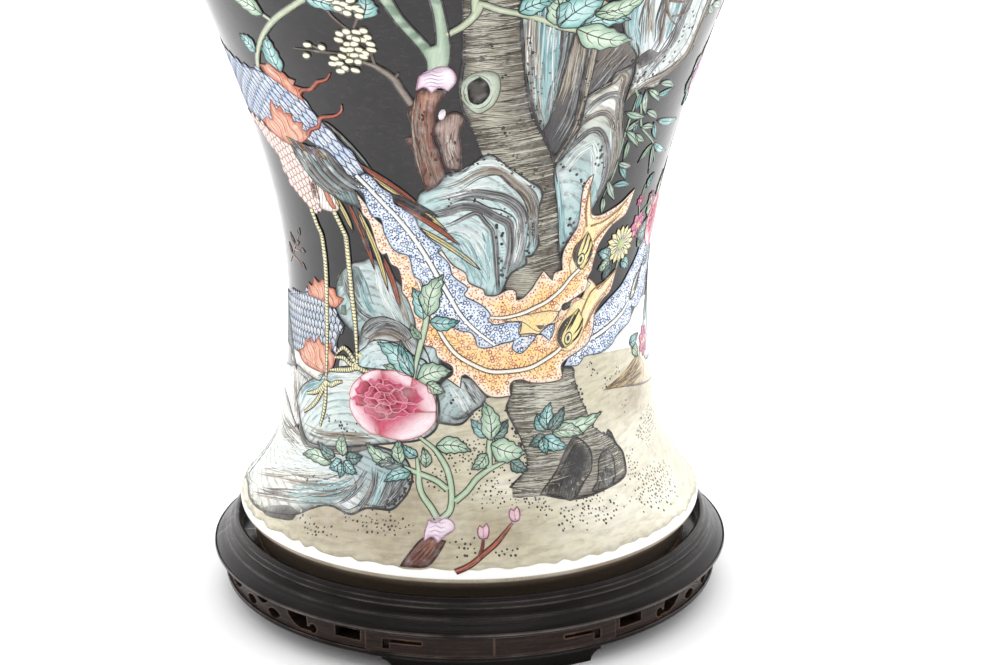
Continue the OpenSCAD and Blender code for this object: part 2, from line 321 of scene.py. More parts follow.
def hardwood(name, base, worn, rough, turn_grain=True):
    """Dark polished hardwood: grain runs round the stand; edges take a lighter colour that is wear and,
    where that colour is grey, a painted highlight.
    """
    m = Shader(name)
    at = m.coords()
    grain = m.noise(m.coords((1, 1, 14) if turn_grain else (14, 1, 1)), 55, 6, 0.62, 0.6)
    pores = m.noise(m.coords((1, 1, 22) if turn_grain else (22, 1, 1)), 240, 3, 0.6)
    wear = m.noise(at, 46, 5, 0.6)
    inside = m.node("ShaderNodeBevel", {"Radius": 0.0016}, samples=6).outputs["Normal"]
    flat = m.node("ShaderNodeNewGeometry").outputs["Normal"]
    facing = m.node("ShaderNodeVectorMath", {0: inside, 1: flat}, operation="DOT_PRODUCT")
    edge = m.ramp(facing.outputs["Value"], 0.985, 0.86)
    edge = m.math("MULTIPLY", edge, m.ramp(wear, 0.3, 0.62))
    colour = m.mix(m.ramp(grain, 0.35, 0.7), linear(base), linear([c * 1.55 for c in base]))
    colour = m.mix(m.ramp(pores, 0.52, 0.7, 0, 0.6), colour, linear([c * 0.55 for c in base]))
    # Lighter edge colour: worn wood, and painted highlight along the beads where the edge colour is grey.
    colour = m.mix(m.math("MULTIPLY", edge, 0.6), colour, linear(worn))
    dusty = m.ramp(m.noise(m.coords((1, 1, 0.4)), 18, 4), 0.45, 0.75)
    m.set(Base_Color=m.mix(m.math("MULTIPLY", dusty, 0.03), colour, linear((150, 140, 132))),
          Roughness=m.ramp(wear, 0.3, 0.7, rough - 0.08, rough + 0.12),
          Specular_IOR_Level=m.ramp(edge, 0, 1, 0.08, 0.5))
    m.bump(m.math("ADD", grain, pores), 0.22, 0.0005)
    return m.material


# ---- painting ----

GROUND = 0.08       # mm that the lowest enamel stands above the glaze
LAYER = 0.045       # mm that each layer of enamel stands above the one below
LINE = 0.05         # extra mm at the crest of an ink line
BURIED = -0.03      # mm that the back of the enamel lies inside the glaze
GRID = 3.0          # mm between points inside an enamel area

INK = (50, 44, 46)
BROWN_INK = (86, 62, 50)
DARK_ROCK = (78, 74, 74)
BUFF = (205, 196, 168)


def hand(points):
    """Hand coordinates as millimetres along the waist, so that angles and heights compare."""
    return np.array(points, float) * (MM_PER_DEGREE, 1)


def spline(points, closed, spacing):
    """A smooth line through points in mm. A point where the line turns sharply stays a corner."""
    p = np.asarray(points, float)
    n = len(p)
    before, after = np.roll(p, 1, 0), np.roll(p, -1, 0)
    tangent = (after - before) / 2
    come, go = p - before, after - p
    length = np.maximum(np.linalg.norm(come, axis=1) * np.linalg.norm(go, axis=1), 1e-9)
    corner = (come * go).sum(1) / length < 0.1
    if not closed:
        tangent[0], tangent[-1] = go[0], come[-1]
        corner[0] = corner[-1] = False
    out = []
    for i in range(n if closed else n - 1):
        k = (i + 1) % n
        chord = p[k] - p[i]
        size = np.linalg.norm(chord)
        steps = max(1, math.ceil(size / spacing))
        t = (np.arange(steps) / steps)[:, None]
        m0 = chord if corner[i] else tangent[i] * min(1, size / max(np.linalg.norm(tangent[i]), 1e-9))
        m1 = chord if corner[k] else tangent[k] * min(1, size / max(np.linalg.norm(tangent[k]), 1e-9))
        out.append((2 * t**3 - 3 * t**2 + 1) * p[i] + (t**3 - 2 * t**2 + t) * m0
                   + (3 * t**2 - 2 * t**3) * p[k] + (t**3 - t**2) * m1)
    if not closed:
        out.append(p[-1:])
    return np.concatenate(out)


def edge_distance(points, outline):
    """Distance in mm from each point to the nearest side of a closed outline."""
    a, b = outline, np.roll(outline, -1, 0)
    ab = b - a
    t = ((points[:, None] - a) * ab).sum(2) / np.maximum((ab**2).sum(1), 1e-12)
    near = a + np.clip(t, 0, 1)[..., None] * ab
    return np.linalg.norm(points[:, None] - near, axis=2).min(1)


def inside(points, outline):
    """Which points lie inside a closed outline."""
    a, b = outline, np.roll(outline, -1, 0)
    x, y = points[:, :1], points[:, 1:]
    crosses = (a[:, 1] > y) != (b[:, 1] > y)
    rise = np.where(b[:, 1] == a[:, 1], 1e-9, b[:, 1] - a[:, 1])
    hit = x < (b[:, 0] - a[:, 0]) * (y - a[:, 1]) / rise + a[:, 0]
    return (crosses & hit).sum(1) % 2 == 1


def rim(inner, edge, reach):
    """Shading from an edge colour to an inner colour, over a distance from the outline."""
    a, b = linear(inner), linear(edge)

    def shade(points, depth):
        t = np.clip(depth / reach, 0, 1)[:, None]
        return b + (a - b) * t * t * (3 - 2 * t)
    return shade


def between(first, last, start, end, edge=None, reach=1.0):
    """Shading from one colour to another between two places, with an optional edge colour."""
    a, b = linear(first), linear(last)
    p, q = hand([start, end])

    def shade(points, depth):
        t = np.clip(((points - p) @ (q - p)) / ((q - p) @ (q - p)), 0, 1)[:, None]
        colour = a + (b - a) * t
        if edge is not None:
            k = np.clip(depth / reach, 0, 1)[:, None]
            colour = linear(edge) + (colour - linear(edge)) * k
        return colour
    return shade


def plain(colour):
    """One colour all over."""
    return rim(colour, colour, 1.0)


def straight(angle):
    """Brush coordinates turned by an angle, for streaks along a direction."""
    c, s = math.cos(math.radians(angle)), math.sin(math.radians(angle))
    return lambda points: points @ np.array([[c, -s], [s, c]])


def round_about(centre, squash):
    """Brush coordinates round a centre, for streaks that follow arches."""
    c = hand([centre])[0]

    def flow(points):
        d = (points - c) * (1, squash)
        r = np.linalg.norm(d, axis=1)
        return np.stack([np.arctan2(d[:, 0], d[:, 1]) * 30, r], 1)
    return flow


def headings(line):
    """The direction of a line at each of its points."""
    ahead = np.gradient(line, axis=0)
    return ahead / np.maximum(np.linalg.norm(ahead, axis=1), 1e-9)[:, None]


def sideways(ahead):
    """Directions turned a quarter turn to the left."""
    return np.stack([-ahead[:, 1], ahead[:, 0]], 1)


def as_place(point):
    """A point in mm as a place in hand coordinates."""
    return tuple(point / (MM_PER_DEGREE, 1))


class Enamel:
    """Collects areas and lines of enamel that become one closed piece on the vase."""

    def __init__(self, name, material, wrapped=False):
        self.name, self.material, self.wrapped = name, material, wrapped
        self.verts, self.faces, self.tints, self.flows = [], [], [], []
        self.count = 0

    def add(self, flat, lifts, faces, tints, flows):
        """Adds one solid: points in mm, lifts above the glaze, and what its shader needs."""
        angle, height = flat[:, 0] / MM_PER_DEGREE, flat[:, 1]
        self.verts.append(np.stack([angle, height, lifts], 1))
        self.faces.extend(tuple(i + self.count for i in face) for face in faces)
        self.tints.append(np.broadcast_to(tints, (len(flat), 3)))
        self.flows.append(flows)
        self.count += len(flat)

    def area(self, points, layer, shade, flow=None, outline=None, ink=INK, spacing=1.6):
        """A filled area inside a given outline, with an optional ink line round it."""
        if not callable(shade):
            shade = plain(shade)
        flow = flow or straight(0)
        edge = spline(hand(points), True, spacing)
        low, high = edge.min(0), edge.max(0)
        xs = np.arange(low[0] + GRID / 2, high[0], GRID)
        ys = np.arange(low[1] + GRID / 2, high[1], GRID)
        grid = np.array([(x, y + (i % 2) * GRID / 2) for i, x in enumerate(xs) for y in ys])
        if len(grid):
            grid = grid[inside(grid, edge)]
        if len(grid):
            grid = grid[edge_distance(grid, edge) > GRID * 0.4]
        everything = np.concatenate([edge, grid]) if len(grid) else edge
        ring = list(range(len(edge)))
        sides = [(i, (i + 1) % len(edge)) for i in ring]
        flat, _, tris, *_ = delaunay_2d_cdt([Vector(p) for p in everything], sides, [], 1, 1e-5)
        flat = np.array([tuple(v) for v in flat])
        n = len(flat)
        used = {}
        for tri in tris:
            for i in range(3):
                used[(tri[i], tri[(i + 1) % 3])] = True
        border = [side for side in used if (side[1], side[0]) not in used]
        depth = edge_distance(flat, edge)
        base = GROUND + LAYER * (layer + 1)
        lift = base + np.clip(depth / 1.5, 0, 1) * 0.015
        faces = [tuple(t) for t in tris] + [tuple(i + n for i in reversed(t)) for t in tris]
        faces += [(b, a, a + n, b + n) for a, b in border]
        tints = shade(flat, depth)
        flows = flow(flat)
        self.add(np.concatenate([flat, flat]), np.concatenate([lift, np.full(n, BURIED)]), faces,
                 np.concatenate([tints, tints]), np.concatenate([flows, flows]))
        if outline:
            self.ribbon(np.concatenate([edge, edge[:1]]), outline, layer + 0.5, ink)

    def ribbon(self, path, width, layer, colour, ends=(1, 1), swell=0.0):
        """A raised line along points in mm: its width may taper to each end."""
        keep = np.concatenate([[True], np.linalg.norm(np.diff(path, axis=0), axis=1) > 1e-4])
        path = path[keep]
        if len(path) < 2:
            return
        side = sideways(headings(path))
        n = len(path)
        t = np.linspace(0, 1, n)
        taper = np.interp(t, [0, 0.35, 0.65, 1], [ends[0], 1, 1, ends[1]])
        taper *= 1 - swell * np.cos(2 * math.pi * t)
        wide = np.linspace(*width, n) if isinstance(width, tuple) else width
        half = (wide / 2 * taper)[:, None]
        base = GROUND + LAYER * (layer + 1)
        flat = np.concatenate([path + side * half, path, path - side * half, path])
        lifts = np.concatenate([np.full(n, base), np.full(n, base + LINE), np.full(n, base),
                                np.full(n, BURIED)])
        faces = []
        for i in range(n - 1):
            for a, b in ((0, 1), (1, 2), (2, 3), (3, 0)):
                faces.append((a * n + i, b * n + i, b * n + i + 1, a * n + i + 1))
        faces += [(0, 3 * n, 2 * n, n), (n - 1, 2 * n - 1, 3 * n - 1, 4 * n - 1)]
        along = np.concatenate([[0], np.cumsum(np.linalg.norm(np.diff(path, axis=0), axis=1))])
        across = np.concatenate([half[:, 0], np.zeros(n), -half[:, 0], np.zeros(n)])
        flows = np.stack([np.tile(along, 4), across], 1)
        self.add(flat, lifts, faces, linear(colour), flows)

    def border(self, points, width, layer, colour=INK, swell=0.0):
        """A raised line round a given outline. Returns the outline's curve in mm."""
        edge = spline(hand(points), True, 1.6)
        self.ribbon(np.concatenate([edge, edge[:1]]), width, layer, colour, swell=swell)
        return edge

    def line(self, points, width, layer, colour, ends=(1, 1), swell=0.0, spacing=1.5):
        """A raised line through given points."""
        self.ribbon(spline(hand(points), False, spacing), width, layer, colour, ends, swell)

    def stem(self, points, widths, layers, colours, ends, pale_ends=None):
        """A pale line on a wider dark one, so that it has dark edges."""
        self.line(points, widths[0], layers[0], colours[0], ends)
        self.line(points, widths[1], layers[1], colours[1], pale_ends or ends)

    def dot(self, place, radius, layer, colour, sides, stretch=1.0, turn=0.0):
        """A small raised dot or oval."""
        c = hand([place])[0]
        a = np.linspace(0, 2 * math.pi, sides, endpoint=False)
        ring = np.stack([np.cos(a) * radius, np.sin(a) * radius * stretch], 1)
        ct, st = math.cos(math.radians(turn)), math.sin(math.radians(turn))
        ring = ring @ np.array([[ct, st], [-st, ct]]) + c
        flat = np.concatenate([ring, [c], ring, [c]])
        base = GROUND + LAYER * (layer + 1)
        lifts = np.concatenate([np.full(sides, base), [base + 0.05], np.full(sides + 1, BURIED)])
        faces = []
        for i in range(sides):
            k = (i + 1) % sides
            faces += [(i, k, sides), (sides + 1 + k, sides + 1 + i, 2 * sides + 1),
                      (k, i, sides + 1 + i, sides + 1 + k)]
        self.add(flat, lifts, faces, linear(colour), flat - c)

    def finish(self, turn=0, mirror=False, suffix=""):
        """Lays what was collected on the vase, once per call, and names the piece."""
        place = np.concatenate(self.verts)
        angle = -place[:, 0] if mirror else place[:, 0]
        if self.wrapped:
            radius = np.interp(place[:, 1], TABLE[:, 1], TABLE[:, 0])
            angle = np.degrees(angle * MM_PER_DEGREE / radius)
        angle = turn + angle
        faces = [face[::-1] for face in self.faces] if mirror else self.faces
        verts = on_vase(angle, place[:, 1], place[:, 2])
        obj = make_object(self.name + suffix, verts.tolist(), faces, "vase")
        tint = obj.data.attributes.new("tint", "FLOAT_COLOR", "POINT")
        colours = np.concatenate(self.tints)
        rgba = np.concatenate([colours, np.ones((len(colours), 1))], 1)
        tint.data.foreach_set("color", rgba.astype(np.float32).ravel())
        flow = obj.data.attributes.new("flow", "FLOAT_VECTOR", "POINT")
        lines = np.concatenate(self.flows)
        vectors = np.concatenate([lines, np.zeros((len(lines), 1))], 1)
        flow.data.foreach_set("vector", vectors.astype(np.float32).ravel())
        paint(self.material, obj)


# ---- ground ----

def sand_ground(rng):
    """The band of sand at the foot, with a ragged lower edge."""
    top = ((90, 75), (80, 90), (70, 98), (60, 101.8), (54.3, 103.6), (48.6, 104.6), (42.9, 105.8),
           (39.3, 107.7), (35.7, 107.4), (30, 100), (20, 96), (12, 93.5), (5, 93), (0, 88),
           (-10, 84), (-30, 70), (-60, 60), (-90, 60))
    bottom = [(angle, 21.6 + rng.uniform(-0.9, 0.9)) for angle in np.arange(-90, 90.1, 2.25)]
    sand = Enamel("sand_ground", enamel("enamel_sand", (0.12, 0.5), 0.45, speck=0.35, rough=0.28))
    light = ((40, 36, 20), (56, 60, 26), (75, 95, 18), (62, 30, 18), (-12, 92, 14), (12, 52, 12))
    worn = ((-36, 34, 26), (-12, 28, 16), (8, 36, 14), (28, 62, 10), (60, 78, 16), (-20, 48, 16))

    def spots(points, places):
        total = np.zeros(len(points))
        for angle, z, size in places:
            apart = (points[:, 0] - angle * MM_PER_DEGREE) ** 2 + (points[:, 1] - z) ** 2 * 3
            total += np.exp(-apart / size**2)
        return np.clip(total, 0, 1)[:, None]

    def shade(points, depth):
        colour = np.tile(linear((206, 199, 174))[:3], (len(points), 1))
        colour += (linear((234, 229, 211))[:3] - colour) * spots(points, light)
        colour += (linear((178, 166, 142))[:3] - colour) * spots(points, worn)
        return colour
    sand.area(bottom + list(top), 0.8, shade, straight(4))
    return sand


def moss_dots(rng):
    """Clusters of dark moss dots on the sand, thinner towards their edges."""
    moss = Enamel("moss_dots", enamel("enamel_moss"))
    clusters = ((-50, -34, 25, 33), (-36, -14, 31, 41), (-14, -4, 50, 62), (-6, 3, 25, 35),
                (8, 22, 42, 56), (-4, 6, 80, 92), (0, 14, 43, 58), (0, 14, 76, 82), (5, 12, 25, 30),
                (14, 24, 38, 50), (20, 46, 30, 46), (50, 58, 42, 58), (53, 57, 72, 80),
                (-14, 24, 58, 76), (46, 75, 26, 48), (60, 80, 50, 70))
    for a0, a1, z0, z1 in clusters:
        for j, z in enumerate(np.arange(z0, z1, 1.6)):
            for angle in np.arange(a0 + 0.6 * (j % 2), a1, 1.25):
                apart = ((angle - (a0 + a1) / 2) / (a1 - a0)) ** 2 + ((z - (z0 + z1) / 2) / (z1 - z0)) ** 2
                if rng.random() < 0.95 - 3.6 * apart:
                    place = (angle + rng.uniform(-0.4, 0.4), max(z + rng.uniform(-0.5, 0.5), 23.5))
                    moss.dot(place, rng.uniform(0.32, 0.58), 1.4, (60, 53, 46), 6)
    return moss


def dry_brush(piece, guide, spread, count, layer, tones, rng, width=(0.3, 0.8), edge=None):
    """Tapering strokes side by side along a guide, as a half-dry brush leaves them."""
    line = spline(hand(guide), False, 2.2)
    side = sideways(headings(line))
    for _ in range(count):
        first = rng.uniform(0, 0.65)
        last = min(1, first + rng.uniform(0.25, 0.7))
        i, j = int(first * len(line)), int(last * len(line))
        if j - i < 4:
            continue
        offset = rng.uniform(-0.5, 0.5) * spread + rng.uniform(-0.2, 0.2) * spread * np.linspace(0, 1,
                                                                                                 j - i)
        path = line[i:j] + side[i:j] * offset[:, None]
        if edge is not None:
            path = path[inside(path, edge)]
        if len(path) > 3:
            piece.ribbon(path, rng.uniform(*width), layer + 0.8 * rng.random(), rng.choice(tones),
                         (0.1, 0.1))


def moss_row(piece, guide, count, layer, rng, spread, size=(0.35, 0.8)):
    """Dark moss dots scattered along a line."""
    line = spline(hand(guide), False, 1.2)
    for _ in range(count):
        x, y = line[rng.randrange(len(line))]
        place = ((x + rng.gauss(0, spread)) / MM_PER_DEGREE, y + rng.gauss(0, spread))
        piece.dot(place, rng.uniform(*size), layer, (44, 40, 42), 6)


def inner_lines(piece, outline, count, layer, colour, rng):
    """Short lines inside an outline that follow its edge, each a step further in."""
    inset, width, reach = 2.0, 0.45, 0.15
    edge = spline(hand(outline), True, 2.0)
    n = len(edge)
    centre = edge.mean(0)
    for k in range(count):
        start, length = rng.randrange(n), int(n * rng.uniform(0.4, 1) * reach) + 4
        t = (start + np.arange(length)) % n
        step = inset * (1 + k % 5)
        line = edge[t]
        away = centre - line
        away /= np.maximum(np.linalg.norm(away, axis=1), 1e-6)[:, None]
        line = line + away * (step * (1 + 0.25 * np.sin(np.arange(length) * 0.5 + k)))[:, None]
        keep = inside(line, edge)
        if keep.all() and length > 4:
            piece.ribbon(line, width * rng.uniform(0.6, 1.4), layer, colour, (0.15, 0.1))


CHARCOAL = ((66, 62, 64), (96, 94, 96), (134, 136, 136), (168, 172, 172))
GREY_BROWN = ((128, 118, 108), (160, 150, 136), (98, 88, 80), (182, 172, 156))
TEAL_WASH = ((132, 176, 180), (164, 198, 200), (104, 142, 150), (196, 218, 218))
PAPER = ((240, 244, 242), (226, 234, 232), (214, 226, 226))


class RockWork:
    """The garden rocks and the ink, brush strokes, moss and hollows that they share."""

    def __init__(self, rng):
        self.rng, self.pieces = rng, []
        self.ink = Enamel("rock_ink", enamel("enamel_rock_ink"))
        self.strokes = Enamel("rock_strokes", enamel("enamel_rock_strokes", (0.2, 2), 0.3))
        self.hollows = Enamel("rock_hollows", enamel("enamel_hollow", (0.3, 1.2), 0.5))
        self.wash = rock_enamel("enamel_rock", 0.35, 0.3, 3)
        self.grey = rock_enamel("enamel_rock_grey", 0.5, 0.2, 2)

    def rock(self, name, outline, layer, shade, flow, folds, lines=0, material=None):
        """One rock with an ink border. Each fold is (guide, spread, strokes, tones) for a dry brush."""
        piece = Enamel(name, material or self.wash)
        piece.area(outline, layer, shade, flow)
        edge = self.ink.border(outline, 0.75, layer + 0.9, swell=0.3)
        inner_lines(self.ink, outline, lines, layer + 0.9, DARK_ROCK, self.rng)
        for guide, spread, count, tones in folds:
            dry_brush(self.strokes, guide, spread, count, layer + 0.5, tones, self.rng, edge=edge)
        self.pieces.append(piece)

    def fold_line(self, guide, layer, width=0.55):
        """An ink line along a fold, thin at both ends."""
        self.ink.line(guide, width, layer, INK, (0.2, 0.2), swell=0.3)

    def moss(self, guide, count, layer, *extent):
        """Moss dots along a fold; the extent is moss_row's spread and size."""
        moss_row(self.ink, guide, count, layer, self.rng, *extent)


def hatched_ground(work):
    """The brown ground seen between the trunk and the rocks."""
    zone = [(20, 276), (24, 280), (27, 270), (26.5, 240), (26.8, 222), (25.2, 210), (22, 204),
            (19, 212), (18, 226)]
    work.rock("rock_hatch_zone", zone, 0, between((112, 106, 98), (66, 64, 68), (24, 256), (22, 218)),
              straight(84),
              ((((22.5, 268), (23, 249), (23, 237), (22, 228)), 6, 34, GREY_BROWN),
               (((25.2, 262), (25.6, 244), (25.5, 233), (24.8, 222), (22, 211)), 5, 30, CHARCOAL)),
              material=work.grey)


def tall_slab(work):
    """The tall slab that leans on the trunk."""
    slab = [(12, 284), (10.6, 276), (11.4, 256), (13.2, 239), (15, 229), (16.4, 221), (18, 215.5),
            (19.6, 221), (20.4, 230), (21.4, 245), (22.5, 268), (21, 280), (16, 288)]
    work.rock("rock_tall_slab", slab, 2,
              between((188, 204, 204), (158, 184, 188), (14, 262), (19, 222), (108, 118, 116), 1.6),
              straight(86),
              ((((12.4, 282), (13.5, 257), (14.5, 245), (16, 231), (18, 220)), 4, 22, GREY_BROWN),
               (((16, 284), (17, 252), (17.3, 240), (18, 222)), 7, 26, TEAL_WASH),
               (((19.5, 282), (20.4, 252), (19.8, 240), (19, 224)), 4, 18, CHARCOAL),
               (((15, 284), (15.6, 250), (17.5, 226)), 8, 12, PAPER)), 4)
    work.moss(((12.6, 262), (13.6, 245), (15, 232), (17.4, 219)), 26, 3.4, 0.8)
    work.moss(((15, 252), (17, 244), (16, 234)), 9, 3.4, 2.5, (0.3, 0.55))


def buff_strip(work):
    """The narrow buff rock beside the slab."""
    strip = [(26, 276), (28.8, 272), (28.2, 240), (27.6, 214), (24.5, 203), (21.6, 200), (23.6, 208),
             (26, 220)]
    work.rock("rock_buff_strip", strip, 1, between(BUFF, (176, 170, 150), (27, 258), (23, 203)),
              straight(86),
              ((((27.4, 272), (27.6, 240), (26.8, 218), (23.5, 205)), 2.2, 18, GREY_BROWN),))
    work.fold_line(((28.6, 264), (28, 242), (28.1, 230), (27.1, 218), (24.6, 209.4), (22.4, 201)), 2, 0.7)
    work.moss(((28.6, 250), (28, 236), (27, 218), (24.6, 208)), 16, 2.6, 0.7)


def dark_patch(work):
    """The dark rock above the arch."""
    patch = [(28.5, 256), (32.5, 257), (36.8, 255), (40, 247.5), (38.4, 241), (34.9, 239), (31, 233),
             (28.1, 230.1), (27.6, 238.4), (28.2, 247.1)]
    work.rock("rock_dark_patch", patch, 0.6,
              between((120, 108, 98), (88, 84, 86), (30, 254), (34, 238)), straight(64),
              ((((29, 232), (32, 242), (36, 251)), 10, 34, CHARCOAL),
               (((29, 240), (33, 247), (36, 254)), 8, 20, GREY_BROWN)), material=work.grey)


def arched_rock(work):
    """The rock whose folds bend over like horns."""
    arched = [(28.2, 230.3), (30.7, 233.4), (33.9, 235.3), (34.6, 240.3), (38.9, 242.4), (39.8, 239),
              (38.9, 226.5), (40, 220), (42.9, 208), (43.6, 205), (42.9, 198.5), (41, 189),
              (38.9, 183), (37, 176), (32, 168), (29.6, 162), (27.5, 157.6), (26.8, 158.5),
              (26.3, 168.5), (25.4, 177), (24.3, 185), (22.7, 198), (26, 211.5), (27.7, 216.5)]
    horn = ((28, 229), (31.4, 233), (35, 236), (36.5, 239), (38, 237), (38, 231), (38.4, 225),
            (40, 214), (42, 205))
    outer = ((26, 212), (28.5, 218.5), (30.7, 221.3), (34.2, 222.1), (37.5, 217), (40.1, 208),
             (41.1, 197.6), (40, 188))
    inner = ((24, 204), (27.5, 209.5), (30.6, 213.9), (33.2, 214), (36.1, 209.1), (38.3, 201),
             (39.2, 191.5), (37.6, 181))
    work.rock("rock_arched", arched, 2,
              between((186, 206, 208), (194, 192, 176), (28, 190), (36, 232), (104, 116, 116), 2),
              round_about((26, 150), 0.5),
              ((horn, 3.6, 34, GREY_BROWN), (outer, 3.2, 50, GREY_BROWN), (outer, 3, 26, CHARCOAL),
               (inner, 3.4, 54, CHARCOAL),
               (((26, 214), (31, 227), (37, 229), (40, 216), (42, 204)), 3.5, 26, CHARCOAL),
               (((25, 196), (29, 205), (32.5, 208), (34.5, 202), (36, 190)), 4, 20, PAPER),
               (((24, 196), (25.6, 182), (27, 168), (28, 160)), 3, 30, TEAL_WASH),
               (((36, 190), (34, 178), (31, 168)), 4, 20, TEAL_WASH),
               (((38, 226), (38.5, 214), (40, 204)), 3, 12, PAPER)))
    work.fold_line(inner, 3.4)
    work.fold_line(outer, 3.4)
    work.moss(((35, 206), (36, 202), (36.4, 196)), 12, 3.6, 1, (0.5, 1))
    work.moss(((30, 172), (31, 166), (29.6, 162)), 14, 3.6, 1.2, (0.5, 1))
    work.moss(((25.4, 210), (24.6, 200), (33, 188)), 10, 3.6, 1, (0.4, 0.8))


def upper_right_rock(work):
    """The large rock at the upper right, with a hollow and roots."""
    corner = [(40, 225), (42, 228.4), (45, 230.3), (50, 229.3), (52, 233), (55.7, 235.6), (60, 239),
              (62.5, 243), (61, 249), (62.5, 255), (64.5, 259), (66, 270), (62, 286), (54, 292),
              (42, 288), (34, 280), (33, 266), (35, 256), (39, 248), (40, 243), (40.6, 238)]
    rim_fold = ((62.5, 284), (61.5, 263), (61.3, 249), (59.6, 240), (53, 235), (45.4, 232), (41.4, 228))
    work.rock("rock_upper_right", corner, 1,
              between((216, 228, 234), (206, 214, 210), (44, 262), (59, 240), (150, 146, 130), 2.4),
              round_about((72, 300), 0.6),
              ((rim_fold, 5, 50, GREY_BROWN),
               (((51.2, 284), (50.8, 262), (50, 249), (47, 243), (43, 235)), 6, 30, CHARCOAL),
               (((56, 286), (56, 262), (54, 248), (47, 238)), 8, 50, PAPER),
               (((43.7, 284), (43.8, 262), (45.3, 253), (43.9, 246)), 4, 34, CHARCOAL),
               (((35, 280), (35.7, 263), (38, 254), (39.9, 247)), 4, 30, TEAL_WASH),
               (((38, 284), (39, 266), (41, 252)), 5, 20, GREY_BROWN),
               (((47, 286), (47.4, 266), (48, 252)), 5, 24, TEAL_WASH)))
    work.fold_line(((51, 286), (51.2, 268), (50.4, 259.6), (48, 251), (45.6, 243), (41.6, 236)), 2.4)
    work.fold_line(((58, 288), (57, 266), (57.6, 250), (53.6, 240), (46, 234)), 2.4)
    work.moss(((56, 262), (54, 250), (50, 240), (44, 234)), 20, 2.8, 1.6)
    work.moss(((39, 244), (42, 240), (41, 232)), 12, 2.8, 1, (0.5, 1))
    work.hollows.area([(40, 245), (43, 248.6), (46.6, 246), (50.4, 247), (48.4, 242.6), (44.4, 241.4),
                       (41.4, 240)], 2.6, rim((54, 50, 52), (110, 104, 100), 1.4))
    for root in (((43, 276), (44, 268), (47, 261), (50, 257)), ((44.4, 270), (49, 268), (53, 268)),
                 ((44, 268), (45, 259), (45.6, 250)), ((47, 262), (51, 262), (53, 264))):
        work.hollows.line(root, 1.1, 3.2, (112, 84, 64), (1, 0.4))


def folded_rock(work):
    """The rock with arched folds left of the trunk."""
    folded = [(-12.7, 188), (-10, 191), (-7.9, 193.5), (-5, 198), (-0.7, 200), (3.6, 206), (5.4, 207.4),
              (7, 206.2), (10.7, 200.4), (15, 195), (19.3, 190), (20.2, 186), (19.5, 180), (19.6, 168.5),
              (20.4, 163.5), (18.6, 158), (16.8, 158), (16.8, 154), (12.5, 150.4), (10, 142.3),
              (8, 139), (0.4, 145), (-4, 153), (-9, 160), (-14, 172)]
    ridge = ((-8, 190), (-2.5, 193), (3, 198.5), (8, 199), (12, 193), (16, 187), (18.3, 178), (18.3, 162))
    second = ((-10, 184), (-5, 186.5), (1.4, 189), (6, 188), (10, 186), (14, 180.5), (15.6, 172),
              (14.6, 158), (12.4, 152))
    third = ((-12, 178), (-6, 180), (-1, 183), (4, 181.5), (8, 177.5), (11.4, 174), (12.4, 162),
             (10.8, 148))
    fourth = ((-10, 172), (-4.5, 175), (2.3, 180.2), (5.1, 175.7), (7.2, 171), (8, 160), (8.6, 148),
              (9, 141))
    work.rock("rock_folded", folded, 3,
              between((208, 224, 224), (190, 216, 218), (3, 200), (10, 150), (118, 134, 134), 2),
              round_about((-4, 150), 0.72),
              ((ridge, 4.4, 60, GREY_BROWN),
               (((12, 194), (17, 187), (18.6, 176), (18.4, 160)), 4, 34, CHARCOAL),
               (second, 4.6, 74, CHARCOAL), (third, 3.4, 66, CHARCOAL), (fourth, 2.4, 40, CHARCOAL),
               (((-4, 196), (3, 203), (7, 203), (12, 197), (18, 189)), 2.4, 26, PAPER),
               (((-9, 186.6), (-2, 190), (4, 193.4), (8, 193)), 2.6, 26, PAPER),
               (((13.6, 177), (14.4, 166), (13, 155)), 3, 26, PAPER),
               (((5, 171), (6, 160), (6.6, 148)), 4, 24, TEAL_WASH),
               (((-11, 168), (-3, 167), (1, 158), (5, 146)), 8, 40, TEAL_WASH),
               (((-10, 166), (-2, 170), (2, 164), (4.6, 152)), 6, 24, PAPER),
               (((16, 176), (17, 166), (15.8, 156)), 3, 26, TEAL_WASH)))
    for guide in (((-7, 186.8), (-2.5, 189.5), (3, 196), (8, 197.5), (11.5, 192), (15, 185),
                   (17.1, 173.6), (17.1, 160.9)),
                  ((-7.4, 180), (-3, 185.1), (1.4, 186), (5.5, 182.5), (9.5, 180.5), (13, 175.9),
                   (14.5, 161.3)), ((-4.5, 175), (2.3, 180.2), (5.1, 175.7), (7.2, 171.3), (7.9, 162))):
        work.fold_line(guide, 4.4)
    work.moss(((-5, 198), (1, 202), (6, 206), (12, 198), (18, 190)), 22, 4.6, 0.8)
    work.moss(((8, 172), (9, 160), (10, 148)), 18, 4.6, 1.3, (0.4, 0.9))
    work.moss(((17.6, 176), (18, 166), (16.6, 158)), 20, 4.6, 1, (0.4, 0.8))
    work.moss(((-4, 184), (2, 186), (12, 178)), 12, 4.6, 1, (0.4, 0.7))


